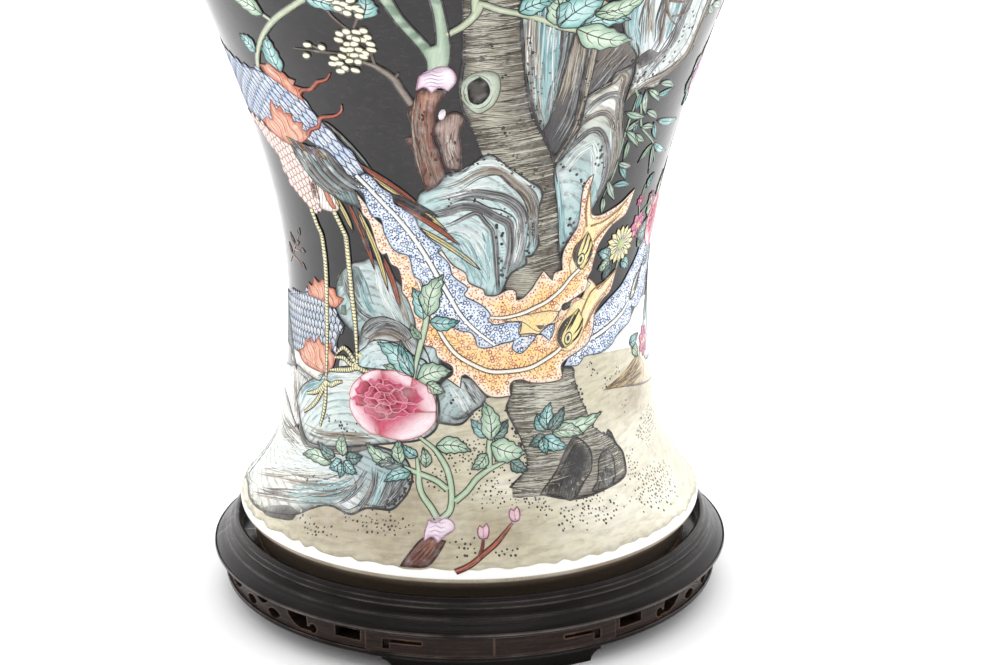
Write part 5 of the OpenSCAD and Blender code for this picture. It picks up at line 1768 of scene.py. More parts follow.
def blue_feathers(rng):
    """The pale blue feathers with their fine blue marks and white quills."""
    blue = Enamel("tail_blue", enamel("enamel_tail_blue", (0.7, 0.7), 0.2))
    marks = Enamel("tail_blue_marks", enamel("enamel_tail_marks"))
    long_blue = [(-31.8, 191), (-30, 187.3), (-28.4, 186.6), (-27.9, 181), (-26.8, 176), (-24.3, 175.4),
                 (-23.8, 172), (-23.6, 168.5), (-21.8, 162.3), (-20, 159.8), (-16.8, 158.5),
                 (-16.1, 152.3), (-15.4, 149), (-13.6, 147.3), (-13, 142), (-11.5, 131), (-7, 129),
                 (-3.2, 125), (0.7, 123.6), (2, 121), (2.9, 117), (6.1, 116.4), (10, 118),
                 (13.6, 118.6), (13.2, 115.2), (15.4, 112.7), (17.1, 114), (20, 118.6), (21, 120.8),
                 (19.3, 121.5), (15, 121.6), (15.7, 123.4), (16.1, 127.4), (11.8, 127.7), (7.9, 126.8),
                 (5.7, 129.3), (6.6, 131.4), (5, 135), (2.5, 137.7), (-1.1, 141), (0, 144.5),
                 (-3.2, 148.5), (-4.6, 151), (-5.4, 156), (-8.4, 161.6), (-7.3, 163.5), (-9.6, 166),
                 (-13.2, 172.3), (-14.3, 177.3), (-17, 181), (-19.6, 183), (-20, 187.3), (-22.9, 190.4),
                 (-25, 194.8), (-27, 196)]
    right_blue = [(30, 104), (35, 103), (37.7, 106.3), (44, 105.8), (49.5, 107.6), (51.5, 110),
                  (54, 112.2), (60.4, 114.7), (61.8, 119.3), (60.8, 121.6), (65.6, 119.5), (71, 123),
                  (76, 128), (79.5, 137.7), (76, 147.9), (70, 153.5), (66, 151), (63.4, 145.4),
                  (58.3, 138.7), (54.4, 134.1), (47.7, 129.5), (43.6, 126), (36, 118)]
    small = [(21.8, 121), (24.6, 124.6), (26.8, 124.6), (26.3, 120.5), (25, 117), (22.9, 120)]
    for outline, layer in ((long_blue, 6), (right_blue, 4), (small, 6)):
        blue.area(outline, layer, rim((238, 243, 248), (206, 220, 238), 3.2), straight(-58),
                  outline=0.5, ink=(56, 66, 88))
        stippled(marks, outline, 1.45, layer + 0.5, ((58, 84, 134), (84, 118, 172), (104, 136, 186)),
                 (246, 248, 250), rng)
    for path, layer in ((((-29.6, 194.8), (-27, 190.4), (-22.9, 183), (-19.3, 176.6), (-15.7, 169),
                          (-12.1, 159.8), (-8.6, 149.4), (-5.5, 140.8), (-2.5, 132.4), (1.8, 125),
                          (7.9, 117.4)), 7),
                        (((40.1, 113.7), (47.1, 116.4), (55, 120.5), (60.2, 125.5)), 5)):
        blue.stem(path, (2.9, 1.9), (layer, layer + 0.7), ((58, 54, 60), (252, 252, 248)), (1, 0.6))
    eye = [(60, 125), (61.4, 130), (64, 134.4), (67.6, 137.6), (66.6, 133), (64.6, 128.4), (62, 125)]
    blue.area(eye, 5.6, rim((246, 244, 226), (206, 208, 196), 1.6), outline=1.0, ink=(62, 58, 60))
    for aside in (0, 1.4, 2.8):
        blue.line([(62.4 + aside * 0.4, 128), (65 + aside, 133 + aside), (68.6 + aside, 139 + aside)],
                  0.6, 6.4, (52, 50, 54), (0.6, 0.1))
    return [blue, marks]


def orange_feathers(rng):
    """The orange feathers: fine dots, fringed edges and barbed quills."""
    orange = Enamel("tail_orange", enamel("enamel_tail_orange", (0.7, 0.7), 0.25))
    dots = Enamel("tail_orange_dots", enamel("enamel_orange_dots"))
    strand = [(-30.7, 186.6), (-30, 185), (-28, 181), (-26.4, 176), (-23.8, 172), (-23.6, 168.5),
              (-21.8, 162.3), (-20, 159.8), (-16.8, 158.5), (-16.1, 152.3), (-15.4, 149),
              (-13.6, 147.3), (-12, 140), (-11, 131.5), (-7.4, 129.4), (-3.2, 126), (2, 124), (6, 119),
              (12, 118.6), (17, 121), (20, 120.8), (22.9, 120), (25, 117), (26.4, 124), (29, 131),
              (34, 135), (37.9, 133), (41.4, 135.5), (45, 139), (47.5, 141), (51, 143.6), (49.6, 136.8),
              (48.2, 133), (45, 130.5), (42, 126), (41.4, 120.5), (40.5, 115.5), (38.6, 111.8),
              (35, 109.3), (30.7, 106.8), (28.9, 104.3), (29.1, 98.6), (25, 97.6), (19, 98.6),
              (16, 100.5), (13.2, 100.2), (12.3, 98), (12.5, 93.6), (8.2, 93.3), (5, 95), (1.1, 101.8),
              (-1.1, 104.3), (-2, 103.6), (-2.5, 98), (-6.4, 102.4), (-4.8, 104.3), (-5, 108),
              (-9.3, 112), (-10, 116), (-15, 118.6), (-16, 128.6), (-18.2, 138.6), (-19.6, 141),
              (-19.6, 146.6), (-20.4, 152.3), (-22.5, 154), (-23.6, 159), (-25, 158), (-26.4, 161),
              (-27.1, 167), (-28.2, 174), (-29.6, 176)]
    upper = [(6.6, 131.4), (5, 135), (2.5, 137.7), (-1.1, 141), (0, 144.5), (-3.2, 148.5), (-4.6, 151),
             (-5.4, 156), (-8.4, 161), (-7.3, 162.3), (-4.3, 155.4), (-0.7, 151.6), (0.4, 146.8),
             (4.6, 143.5), (5, 141), (8.2, 140.5), (11.8, 143), (14.1, 141.8), (14.3, 137.7),
             (16.4, 138.6), (19.3, 143), (20, 145), (22.5, 150.4), (25.5, 145), (26, 148.5),
             (28.6, 149.4), (28.2, 154), (28.6, 159), (30.4, 164), (32.3, 169), (32.5, 175),
             (32.3, 181), (32.3, 187), (33.6, 191.6), (35, 193), (34.6, 185.4), (35.4, 181),
             (36, 176.6), (37, 173.5), (40, 172.3), (45, 174), (48.6, 176), (51.4, 178.5),
             (53.8, 180.4), (52.9, 174), (51.4, 169), (48.6, 167.3), (45, 164.8), (41.4, 158),
             (40, 151), (39.6, 146.6), (38.6, 144.3), (37.9, 142.4), (39.6, 140), (37.5, 137.4),
             (34, 135), (29, 131), (26.4, 126), (21.5, 122), (16.1, 127.4), (11.8, 127.7), (7.9, 126.8),
             (5.7, 129.3)]
    orange.area([(10.5, 128.4), (16, 127.1), (15, 122.4), (16.5, 120.5), (20.8, 120.4), (22.4, 121.7),
                 (24, 123.9), (27.5, 125), (28, 130), (24, 131), (14, 130)], 6.1,
                rim((250, 220, 154), (250, 226, 180), 3), straight(0), outline=0.4, ink=BROWN_INK)
    for outline, layer in ((strand, 5), (upper, 5.3)):
        orange.area(outline, layer, rim((250, 216, 150), (252, 240, 226), 5), straight(0), outline=0.55,
                    ink=BROWN_INK)
        stippled(dots, outline, 1.75, layer + 0.5, ((196, 96, 66), (214, 128, 78), (222, 142, 100)),
                 (252, 234, 206), rng)
        edge = spline(hand(outline), True, 2.6)
        centre = np.roll(edge, 3, 0) - np.roll(edge, -3, 0)
        normal = np.stack([centre[:, 1], -centre[:, 0]], 1)
        normal /= np.maximum(np.linalg.norm(normal, axis=1), 1e-6)[:, None]
        for p, d in zip(edge, normal):
            clipped(dots, p + np.outer(np.linspace(0.6, 3.4, 6), d), edge, 0.32, layer + 0.6,
                    (196, 116, 84))
    ribs = (((6.4, 130.4), (10, 129.9), (15.4, 131), (20.7, 133.6), (24.6, 136), (28.9, 140.5),
             (31.8, 145), (34.6, 148.2)),
            ((-14.6, 147), (-12.5, 138), (-9.6, 127.4), (-7, 120), (-3.6, 113.6), (1.1, 109),
             (6.4, 105.5), (12.9, 105), (18.9, 105.8), (23.6, 108.6), (27, 111), (28.9, 113)))
    for rib in ribs:
        orange.stem(rib, (2.5, 1.6), (6.6, 7.2), ((66, 54, 48), (252, 248, 236)), (0.6, 1))
        line = spline(hand(rib), False, 3)
        for p, d in zip(line, headings(line)):
            for way in (-1, 1):
                n = np.array([-d[1], d[0]]) * way
                tip = p + n * 3.4 + d * 2.2
                orange.ribbon(np.array([p, (p + tip) / 2 + d * 0.3, tip]), 0.32, 6.4, (176, 100, 70),
                              (1, 0.2))
    return [orange, dots]


def feather_eyes():
    """The two eyes of the tail, each an almond with a dark crescent, and bands round them."""
    eyes = Enamel("tail_eyes", enamel("enamel_tail_eyes", (0.4, 1.6), 0.4))
    for band in ([(29.5, 111.5), (27.4, 116), (27.8, 122), (30.5, 127.5), (33, 132.5), (36.5, 134.5),
                  (38.6, 142.6), (41, 139.5), (43, 136), (46.5, 139.5), (50.5, 143), (47.5, 136),
                  (43.5, 131.5), (40.4, 127), (38, 121), (35.5, 114.5), (32.5, 110.8)],
                 [(31.6, 147), (31, 152), (32.4, 158), (34.4, 164), (34.9, 170), (34, 178), (34.8, 186),
                  (35.8, 178), (37.4, 171.4), (44, 171.2), (51, 176.8), (45.5, 168.4), (40.8, 164),
                  (39.2, 158), (38.6, 152), (36.6, 147), (33.6, 144.6)]):
        eyes.area(band, 6.2, rim((246, 228, 166), (250, 236, 200), 2.4), straight(60), outline=0.35,
                  ink=(176, 130, 80))
    almonds = (((34.8, 152.8),
                [(35.5, 148), (33.1, 151.4), (32, 155.5), (32.5, 159.5), (34.3, 162), (36.1, 165.7),
                 (37.5, 162.7), (38.6, 158.5), (38.7, 154.5), (37.7, 150.8), (36.4, 148.5)],
                [(35.2, 147.4), (33, 150.6), (31.6, 155.6), (32.3, 160), (35.6, 164), (34.2, 159),
                 (33.7, 154.8), (34.4, 150.8)],
                (((37.7, 162), (37, 156.5), (35.8, 154)), ((38.8, 158.7), (38, 154.4), (36.8, 151.6)),
                 ((38.6, 154.4), (37.6, 151.2), (36.2, 149)),
                 ((36.4, 164.6), (35.6, 159), (34.8, 156)))),
               ((31.4, 116.6),
                [(29, 113), (28, 116), (28, 119.9), (29.7, 124), (32.6, 127), (35.1, 129.6),
                 (36.8, 124.5), (36.5, 120), (35.2, 116.4), (32.7, 114), (30.5, 112.5)],
                [(29.5, 112.2), (27.7, 116), (27.8, 120.5), (29.8, 124.9), (33.4, 127.8), (31.3, 122.6),
                 (29.7, 119.3), (29.2, 116), (30.2, 113)],
                (((35.5, 129), (33.3, 123.8), (31.8, 120)), ((37, 124.4), (35.4, 120.4), (33.2, 117.6)),
                 ((36.8, 120.4), (34.7, 116.4), (32.6, 114.6)),
                 ((34, 127), (32, 122.4), (30.6, 119.6)))))
    for place, almond, crescent, hairs in almonds:
        eyes.area(almond, 6.8, rim((246, 230, 160), (240, 216, 140), 1.6), straight(60), outline=0.4,
                  ink=(96, 78, 52))
        eyes.area(crescent, 7.3, rim((52, 46, 44), (60, 54, 50), 1), straight(60))
        for hair in hairs:
            eyes.line(hair, 1.0, 7.5, (50, 44, 42), (0.9, 0.1))
        eyes.dot(place, 2.1, 7.9, (54, 48, 44), 14, 1.5, -14)
        eyes.dot(place, 1.65, 8.6, (240, 232, 186), 14, 1.5, -14)
        eyes.dot(place, 0.8, 9.3, (62, 56, 50), 10, 1.7, -14)
    eyes.area([(28.9, 131.9), (29.9, 133.5), (32.5, 133.5), (31.6, 130.5), (29.5, 130)], 6.8,
              (52, 48, 48))
    eyes.area([(20.5, 125), (22, 124.8), (24, 124.5), (22, 122.7)], 6.8, (104, 96, 84))
    for path in (((36, 126), (40, 136), (46, 139), (51, 143)), ((38, 120), (42, 128), (47, 134)),
                 ((37, 168), (42, 169), (48, 173), (53, 179)), ((35.6, 168), (34.4, 176), (34.2, 190)),
                 ((39, 160), (43, 165), (50, 171))):
        eyes.line(path, 1.2, 6.6, (196, 150, 96), (1, 0.1))
        eyes.line(path, 0.4, 7.2, (104, 70, 48), (1, 0.1))
    return eyes


def narrow_feathers():
    """The narrow rust, yellow and dark feathers."""
    quills = Enamel("tail_narrow", enamel("enamel_tail_narrow", (0.2, 2.4), 0.5))
    rust_rows = (((-34.6, 181.6), (-28, 150)), ((-25, 157), (-20.5, 133)), ((-28.6, 200.4), (-12, 182)),
                 ((-19.6, 184), (-2, 164.6)))
    yellow_rows = (((-25.7, 195.4), (-5.2, 171)), ((-13.2, 172), (3.9, 152.6)),
                   ((-31.8, 180), (-24, 140.6)), ((-38.6, 184), (-33.9, 167)))
    dark_rows = (((-33, 184), (-29.2, 158)), ((-27.4, 190), (-9, 176)), ((-22, 188), (-7.6, 178)))
    for rows, tone in ((rust_rows, ((206, 116, 78), (168, 84, 58))),
                       (yellow_rows, ((246, 240, 178), (226, 208, 140))),
                       (dark_rows, ((120, 132, 132), (70, 76, 80)))):
        for k, (base, tip) in enumerate(rows):
            quills.area(blade(base, tip, 2.4, (0.5, 0.9, 1, 1, 0.95, 0.7, 0), 0.03), 4.2 + 0.4 * k,
                        rim(*tone, 0.9), straight(-60), outline=0.45)
            quills.line([along(base, tip, t, 0.03) for t in (0.04, 0.5, 0.96)], 0.32, 5.9, BROWN_INK,
                        (1, 0.2))
    return quills


def tail_feathers(rng):
    """The whole tail, from its narrowest feathers to its eyes."""
    blue = blue_feathers(rng)
    orange = orange_feathers(rng)
    return [narrow_feathers()] + orange + blue + [feather_eyes()]


# ---- the upper body, the neck and the back: not in the photograph ----

def follow(path):
    """Brush strokes that run along a path."""
    def flow(points):
        apart = points[:, None, :] - path[None, :, :]
        nearest = np.argmin((apart ** 2).sum(-1), axis=1)
        ahead = headings(path)
        reach = np.concatenate([[0], np.cumsum(np.linalg.norm(np.diff(path, axis=0), axis=1))])
        offset, d = apart[np.arange(len(points)), nearest], ahead[nearest]
        across = d[:, 0] * offset[:, 1] - d[:, 1] * offset[:, 0]
        return np.stack([across, reach[nearest] + (offset * d).sum(1)], 1)
    return flow


def limb(piece, ink, path, width, layer, rng):
    """A knobbly tapering limb with dark edges and short bark lines from both sides."""
    line = spline(hand(path), False, 3)
    ahead = headings(line)
    side = sideways(ahead)
    half = np.linspace(width[0], width[1], len(line)) / 2
    left = line + side * (half * np.array([rng.uniform(0.86, 1.14) for _ in line]))[:, None]
    right = line - side * (half * np.array([rng.uniform(0.86, 1.14) for _ in line]))[:, None]
    outline = np.concatenate([left[::2], right[::-2]]) / (MM_PER_DEGREE, 1)
    piece.area(outline, layer, rim((184, 178, 160), (108, 100, 90), width[0] * 0.4), follow(line),
               outline=0.8)
    for i in range(1, len(line) - 1):
        for way in (-1, 1):
            if rng.random() < 0.55 and half[i] > 1.6:
                start = line[i] + side[i] * half[i] * way
                reach = rng.uniform(0.4, 1.5)
                end = line[i] + side[i] * half[i] * way * (1 - reach) + ahead[i] * rng.uniform(-2, 2)
                ink.ribbon(np.array([start, (start + end) / 2, end]), rng.uniform(0.35, 0.6), layer + 0.5,
                           (66, 60, 56), (1, 0.2))


def blossoming(wood, bloom, foliage, path, rng, tones, gap=19, reach=24):
    """Twigs on both sides of a branch, with open blossoms, buds and a few leaves."""
    layer = 4
    line = spline(hand(path), False, 2)
    ahead = headings(line)
    step = max(1, int(gap / 2))
    way = 1
    for i in list(range(step // 2, len(line), step)) + [len(line) - 1]:
        way = -way
        turn_by = way * math.radians(rng.uniform(30, 65)) * (i < len(line) - 1)
        c, s = math.cos(turn_by), math.sin(turn_by)
        d = np.array([ahead[i][0] * c - ahead[i][1] * s, ahead[i][0] * s + ahead[i][1] * c])
        n = np.array([-d[1], d[0]])
        length = reach * rng.uniform(0.7, 1.15)
        twig = np.array([line[i], line[i] + d * length * 0.45 + n * rng.uniform(-3, 3),
                         line[i] + d * length])
        wood.line(twig / (MM_PER_DEGREE, 1), 1.5, layer - 1, (120, 108, 96), (1, 0.4))
        for k, t in enumerate((1.0, 0.66, 0.36)):
            aside = n * rng.uniform(2, 6) * (1 if k % 2 else -1) * (t < 1)
            place = as_place(line[i] + d * length * t + aside)
            if rng.random() < 0.78:
                blossom(bloom, place, rng.uniform(4.2, 5.8), layer + 1.5 * (k % 2), 5, *tones)
            else:
                bloom.dot(place, 1.9, layer, tones[1], 9)
                bloom.dot(place, 1.3, layer + 0.7, tones[0][0], 8)
        if rng.random() < 0.6:
            base = line[i] + d * length * 0.2
            tip = base - n * way * rng.uniform(9, 14) + d * 6
            leaf(foliage, as_place(base), as_place(tip), 6.5, rng.choice((GREEN_LEAF, TEAL_LEAF)),
                 layer + 3, 0.08 * way, 3)


def peony_group(name, centre, size, rng, tones):
    """A peony with a ring of leaves behind it, in widths that are true at any height."""
    count = 7
    flower = peony(name, centre, size, rng, tones)
    flower.wrapped = True
    foliage = Enamel(name + "_leaves", enamel("enamel_" + name + "_leaves", (0.8, 0.8), 0.3),
                     wrapped=True)
    for k in range(count):
        a = 2 * math.pi * (k + rng.uniform(-0.2, 0.2)) / count
        ux, uz = math.sin(a), math.cos(a)
        base = (centre[0] + size[0] * 0.7 * ux, centre[1] + size[1] * 0.7 * uz)
        tip = (centre[0] + size[0] * 1.75 * ux, centre[1] + size[1] * 1.75 * uz)
        leaf(foliage, base, tip, 11, (GREEN_LEAF, TEAL_LEAF, DARK_LEAF)[k % 3], 4 + 0.9 * (k % 2), 0.1, 4)
    return [flower, foliage]


def crown(rng):
    """The tree above the photograph: a winding trunk, branches and blossoms up to the neck."""
    wood = Enamel("crown_wood", enamel("enamel_crown", (0.1, 1.5), 0.9, hatch=0.7, pitch=1.1),
                  wrapped=True)
    ink = Enamel("crown_ink", enamel("enamel_crown_ink"), wrapped=True)
    bloom = Enamel("crown_blossom", enamel("enamel_crown_blossom", (0.8, 0.8), 0.25), wrapped=True)
    foliage = Enamel("crown_leaves", enamel("enamel_crown_leaves", (0.8, 0.8), 0.3), wrapped=True)
    white = (((254, 246, 242), (240, 206, 206)), (222, 186, 90))
    branches = ((((-12, 340), (-28, 352), (-44, 350), (-58, 362), (-72, 378), (-84, 384), (-98, 402)),
                 (7, 2.4)),
                (((-10, 366), (-24, 388), (-30, 410), (-44, 428), (-50, 450), (-62, 470), (-64, 492)),
                 (6.4, 2.2)),
                (((12, 400), (30, 398), (48, 406), (62, 398), (80, 406), (94, 422), (104, 444)),
                 (6.4, 2.2)),
                (((22, 458), (8, 480), (-6, 500), (-8, 522), (0, 542), (2, 562), (-2, 580)),
                 (5.4, 1.8)), (((26, 436), (40, 452), (50, 472), (54, 492), (44, 512)), (5, 1.8)),
                (((-2, 312), (-22, 306), (-40, 316), (-58, 310), (-78, 320), (-94, 314)), (5.4, 1.8)),
                (((8, 288), (26, 302), (44, 298), (62, 310), (80, 306), (98, 318), (110, 334)),
                 (5.4, 1.8)))
    for path, width in branches:
        limb(wood, ink, path, width, 2, rng)
        blossoming(wood, bloom, foliage, path[1:], rng, white)
    stem = ((7, 280), (7, 290), (2, 305), (-8, 325), (-14, 345), (-10, 368), (2, 388), (14, 402),
            (24, 420), (26, 440), (20, 462))
    limb(wood, ink, stem, (23, 5), 3, rng)
    pieces = [wood, ink, bloom, foliage]
    for k, (centre, size, tones) in enumerate((((-52, 336), (13, 17), RED_PEONY),
                                               ((58, 346), (14, 18), YELLOW_PEONY),
                                               ((-16, 420), (12, 16), LILAC_PEONY),
                                               ((76, 372), (9, 12), RED_PEONY),
                                               ((-86, 432), (11, 15), YELLOW_PEONY),
                                               ((22, 500), (9, 12), RED_PEONY),
                                               ((78, 462), (10, 13), LILAC_PEONY),
                                               ((-34, 520), (8, 11), YELLOW_PEONY))):
        pieces += peony_group(f"crown_peony_{k + 1}", centre, size, rng, tones)
    return pieces


def neck_sprays(rng):
    """A short blossoming branch for the neck, to be set round it several times."""
    wood = Enamel("neck_wood", enamel("enamel_neck_wood", (0.1, 1.5), 0.8), wrapped=True)
    ink = Enamel("neck_ink", enamel("enamel_neck_ink"), wrapped=True)
    bloom = Enamel("neck_blossom", enamel("enamel_neck_blossom", (0.8, 0.8), 0.25), wrapped=True)
    foliage = Enamel("neck_leaves", enamel("enamel_neck_leaves", (0.8, 0.8), 0.3), wrapped=True)
    path = ((-12, 556), (-6, 570), (4, 582), (6, 598), (-2, 612), (-4, 628))
    limb(wood, ink, path, (3.6, 1.4), 2, rng)
    blossoming(wood, bloom, foliage, path, rng, (((254, 232, 238), (232, 150, 176)), (222, 186, 90)),
               15, 15)
    return [wood, ink, bloom, foliage]


def back_garden(rng):
    """Takes the place of the birds on the back: more of the trunk, peonies and a spray."""
    bark = Enamel("trunk_foot", enamel("enamel_trunk_foot", (0.1, 1.5), 0.9, hatch=0.9, pitch=0.9))
    bark.area([(8, 150), (10, 136), (13.4, 122), (12.6, 104), (13, 99), (34, 98), (32, 106), (29, 118),
               (28.4, 134), (28, 150), (20, 154)], 1.9,
              between((186, 180, 162), (128, 120, 106), (14, 124), (30, 124), (84, 78, 70), 2.2),
              straight(0), outline=0.9)
    pieces = [bark]
    stems = Enamel("garden_stems", enamel("enamel_garden_stems", (0.3, 2), 0.4))
    for path in (((-40, 92), (-44, 112), (-42, 132), (-48, 150), (-46, 168)),
                 ((-42, 126), (-30, 140), (-24, 158)), ((-47, 160), (-58, 178), (-62, 198)),
                 ((-46, 168), (-36, 186), (-34, 208), (-40, 226)), ((-34, 200), (-22, 212), (-16, 222)),
                 ((36, 100), (40, 118), (46, 132), (44, 148)), ((42, 124), (54, 130), (60, 142))):
        stems.stem(path, (3.4, 2.3), (2, 2.6), ((96, 110, 92), (178, 198, 166)), (1, 0.6))
    pieces.append(stems)
    foliage = Enamel("garden_leaves", enamel("enamel_garden_leaves", (0.8, 0.8), 0.3))
    rows = (((-43, 118), (-54, 124)), ((-42, 132), (-32, 130)), ((-48, 150), (-60, 152)),
            ((-46, 168), (-36, 170)), ((-56, 176), (-66, 172)), ((-60, 190), (-70, 196)),
            ((-36, 186), (-26, 182)), ((-34, 206), (-44, 206)), ((-26, 208), (-22, 200)),
            ((-24, 150), (-14, 150)), ((-27, 146), (-30, 158)), ((38, 108), (30, 116)),
            ((42, 126), (34, 134)), ((50, 129), (58, 122)), ((-38, 222), (-30, 232)),
            ((-40, 226), (-50, 230)))
    for k, (base, tip) in enumerate(rows):
        leaf(foliage, base, tip, 9, (GREEN_LEAF, TEAL_LEAF, DARK_LEAF)[k % 3], 4 + 0.9 * (k % 2), 0.1, 4)
    pieces.append(foliage)
    for k, (centre, size, tones) in enumerate((((-46, 166), (12, 15), RED_PEONY),
                                               ((-20, 166), (9, 11), YELLOW_PEONY),
                                               ((-63, 208), (10, 12), LILAC_PEONY),
                                               ((-40, 236), (10, 12), RED_PEONY),
                                               ((44, 154), (9, 12), LILAC_PEONY),
                                               ((62, 146), (7, 9), RED_PEONY))):
        pieces.append(peony(f"garden_peony_{k + 1}", centre, size, rng, tones))
    return pieces


def butterfly(piece, centre, size, turn, tones):
    """Four rounded wings with dark edges, a body and two feelers."""
    c, s = math.cos(math.radians(turn)), math.sin(math.radians(turn))

    def at(x, y):
        return (centre[0] + (x * c - y * s) * size / MM_PER_DEGREE, centre[1] + (x * s + y * c) * size)
    upper = ((0.1, 0.1), (0.5, 0.75), (1.1, 1), (1.3, 0.7), (1, 0.2), (0.5, 0))
    lower = ((0.1, 0), (0.6, -0.05), (0.95, -0.35), (0.8, -0.75), (0.4, -0.7), (0.15, -0.3))
    for way in (-1, 1):
        for wing, tone in ((upper, tones[0]), (lower, tones[1])):
            piece.area([at(x * way, y) for x, y in wing], 2, rim(*tone, 1.8), straight(turn), outline=0.6)
        piece.dot(at(0.85 * way, 0.62), 0.9, 3.4, tones[1][0], 8)
        piece.dot(at(0.6 * way, -0.4), 0.7, 3.4, tones[0][0], 8)
        piece.line([at(0, 0.35), at(0.16 * way, 0.7), at(0.4 * way, 0.9)], 0.5, 3, INK, (0.8, 0.2))
    piece.line([at(0, 0.4), at(0, 0), at(0, -0.5)], 1.6, 3.4, (70, 56, 50), (0.8, 0.3))


def side_garden(rng):
    """Fills the right side: bamboo stems rising from a rock, peonies and butterflies."""
    rock = Enamel("side_rock", rock_enamel("enamel_side_rock", 0.35, 0.3, 3), wrapped=True)
    outline = [(-17, 92), (-16, 112), (-11, 124), (-7, 136), (-2, 139), (3, 132), (8, 140), (13, 133),
               (16, 118), (18, 94), (8, 88), (-6, 88)]
    rock.area(outline, 1,
              between((206, 222, 222), (184, 206, 208), (0, 140), (0, 92), (112, 126, 126), 2),
              round_about((0, 70), 0.8), outline=0.9)
    edge = spline(hand(outline), True, 1.6)
    for guide, tones in ((((-14, 108), (-6, 130), (0, 126), (2, 104)), CHARCOAL),
                         (((3, 106), (7, 134), (13, 124), (15, 104)), CHARCOAL),
                         (((-12, 100), (-5, 118), (0, 108)), PAPER),
                         (((6, 100), (9, 122), (13, 104)), GREY_BROWN)):
        dry_brush(rock, guide, 4, 34, 2, tones, rng, edge=edge)
    moss_row(rock, ((-10, 124), (-3, 136), (6, 134), (14, 126)), 30, 3, rng, 1)
    stems = Enamel("side_bamboo", enamel("enamel_side_bamboo", (0.3, 2), 0.4), wrapped=True)
    foliage = Enamel("side_bamboo_leaves", enamel("enamel_side_leaves", (0.5, 0.9), 0.3), wrapped=True)
    for path, width in ((((-5, 132), (-6, 170), (-4, 220), (-7, 270), (-4, 320), (-8, 360)), 4.6),
                        (((7, 134), (6, 180), (9, 235), (6, 290), (9, 332)), 3.8),
                        (((13, 126), (15, 160), (13, 200), (17, 240)), 2.8)):
        stems.stem(path, (width + 1.1, width), (1.4, 2), ((84, 104, 88), (150, 184, 160)), (1, 0.5))
        line = spline(hand(path), False, 2)
        for i in range(6, len(line), 11):
            x, z = line[i] / (MM_PER_DEGREE, 1)
            reach = width / MM_PER_DEGREE / 2 + 0.2
            stems.line([(x - reach, z), (x, z - 0.5), (x + reach, z)], 1.0, 3, (74, 92, 78), (0.6, 0.6))
            for k in range(rng.randrange(3, 6)):
                angle = math.radians(-90 + rng.uniform(-75, 75))
                length = rng.uniform(13, 22)
                tip = (x + length * math.cos(angle) / MM_PER_DEGREE, z + length * math.sin(angle))
                tone = (BAMBOO_LEAF, TEAL_LEAF, GREEN_LEAF)[k % 3]
                foliage.area(blade((x, z), tip, 3.4, LANCE, rng.uniform(-0.1, 0.1)), 3.4 + 0.9 * (k % 3),
                             rim(tone[0], tone[1], 1.4), outline=0.45, spacing=1.3)
                foliage.line([(x, z), tip], 0.35, 4.2 + 0.9 * (k % 3), INK, (1, 0.2))
    pieces = [rock, stems, foliage]
    for k, (centre, size, tones) in enumerate((((-13, 158), (10, 13), RED_PEONY),
                                               ((15, 182), (8, 10), YELLOW_PEONY),
                                               ((-14, 226), (7, 9), LILAC_PEONY))):
        pieces += peony_group(f"side_peony_{k + 1}", centre, size, rng, tones)
    wings = Enamel("side_butterflies", enamel("enamel_butterfly", (0.8, 0.8), 0.3), wrapped=True)
    butterfly(wings, (-2, 416), 14, 24,
              (((250, 226, 150), (206, 128, 72)), ((206, 226, 236), (110, 150, 190))))
    butterfly(wings, (12, 476), 11, -30,
              (((236, 240, 246), (120, 156, 200)), ((250, 214, 190), (208, 116, 84))))
    return pieces + [wings]


def paint_vase():
    """The painted scene faces front; its mirror image, without the birds, fills the back."""
    rng = random.Random(7)
    shared = [sand_ground(rng), moss_dots(rng)] + rocks(rng) + trunk(rng) + stump(rng)
    shared += [lower_leaves(), middle_leaves(), upper_leaves(), bamboo()]
    shared += [peony("peony", (-24, 88.5), (14.2, 15.7), rng, layer=9)]
    shared += plum_branch(rng) + right_flowers()
    birds = bird() + second_bird() + tail_feathers(rng)
    above = crown(rng)
    for piece in shared + birds + above:
        piece.finish(suffix="_front")
    for piece in shared + above + back_garden(rng):
        piece.finish(180, True, "_back")
    for piece in neck_sprays(rng):
        for k in range(4):
            piece.finish(24 + 90 * k, k % 2 == 1, f"_{k + 1}")
    for piece in side_garden(rng):
        piece.finish(90)


# ---- vase and stand ----

def make_vase():
    """The porcelain body, as a fine lathe with the profile and wall of the CAD vase."""
    last = len(KNOTS) - 1
    outer = profile_stretch(0, last, 2.2)
    inner = profile_stretch(INNER_FIRST, last, 4, WALL)[::-1]
    arc = [(62 + 22 * math.sin(a), 44 - 22 * math.cos(a))
           for a in np.radians(np.arange(90, -1, -10))]
    rings = [(0, 12), (90, 12), (92.5, 10.5), (94, 8), (94.8, 0.3), (95.4, 0), (102.4, 0)]
    rings += [(103, 0.5)] + outer[1:] + [(92, 649.4), (90.6, 650), (88, 649.2)] + inner + arc
    rings.append((0, 21))
    obj = lathe("vase_body", [(r, z + SEAT) for r, z in rings], 240, "vase")
    for material in (black_glaze(), white_glaze(), biscuit()):
        obj.data.materials.append(material)
    lip_depth, under_foot, inner_floor = 2.2, 12.5, 30    # limits of the glazes, in mm
    rim_height = (SEAT + VASE_H - lip_depth) * MM
    for face in obj.data.polygons:
        centre, normal = face.center, face.normal
        inward = normal.x * centre.x + normal.y * centre.y < 0
        if centre.z < (SEAT + BISCUIT_TOP) * MM and not (inward and centre.z > (SEAT + under_foot) * MM):
            face.material_index = 2
        elif inward or centre.z > rim_height or (normal.z > 0.9 and centre.z < (SEAT + inner_floor) * MM):
            face.material_index = 1
    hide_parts("vase")
    return obj


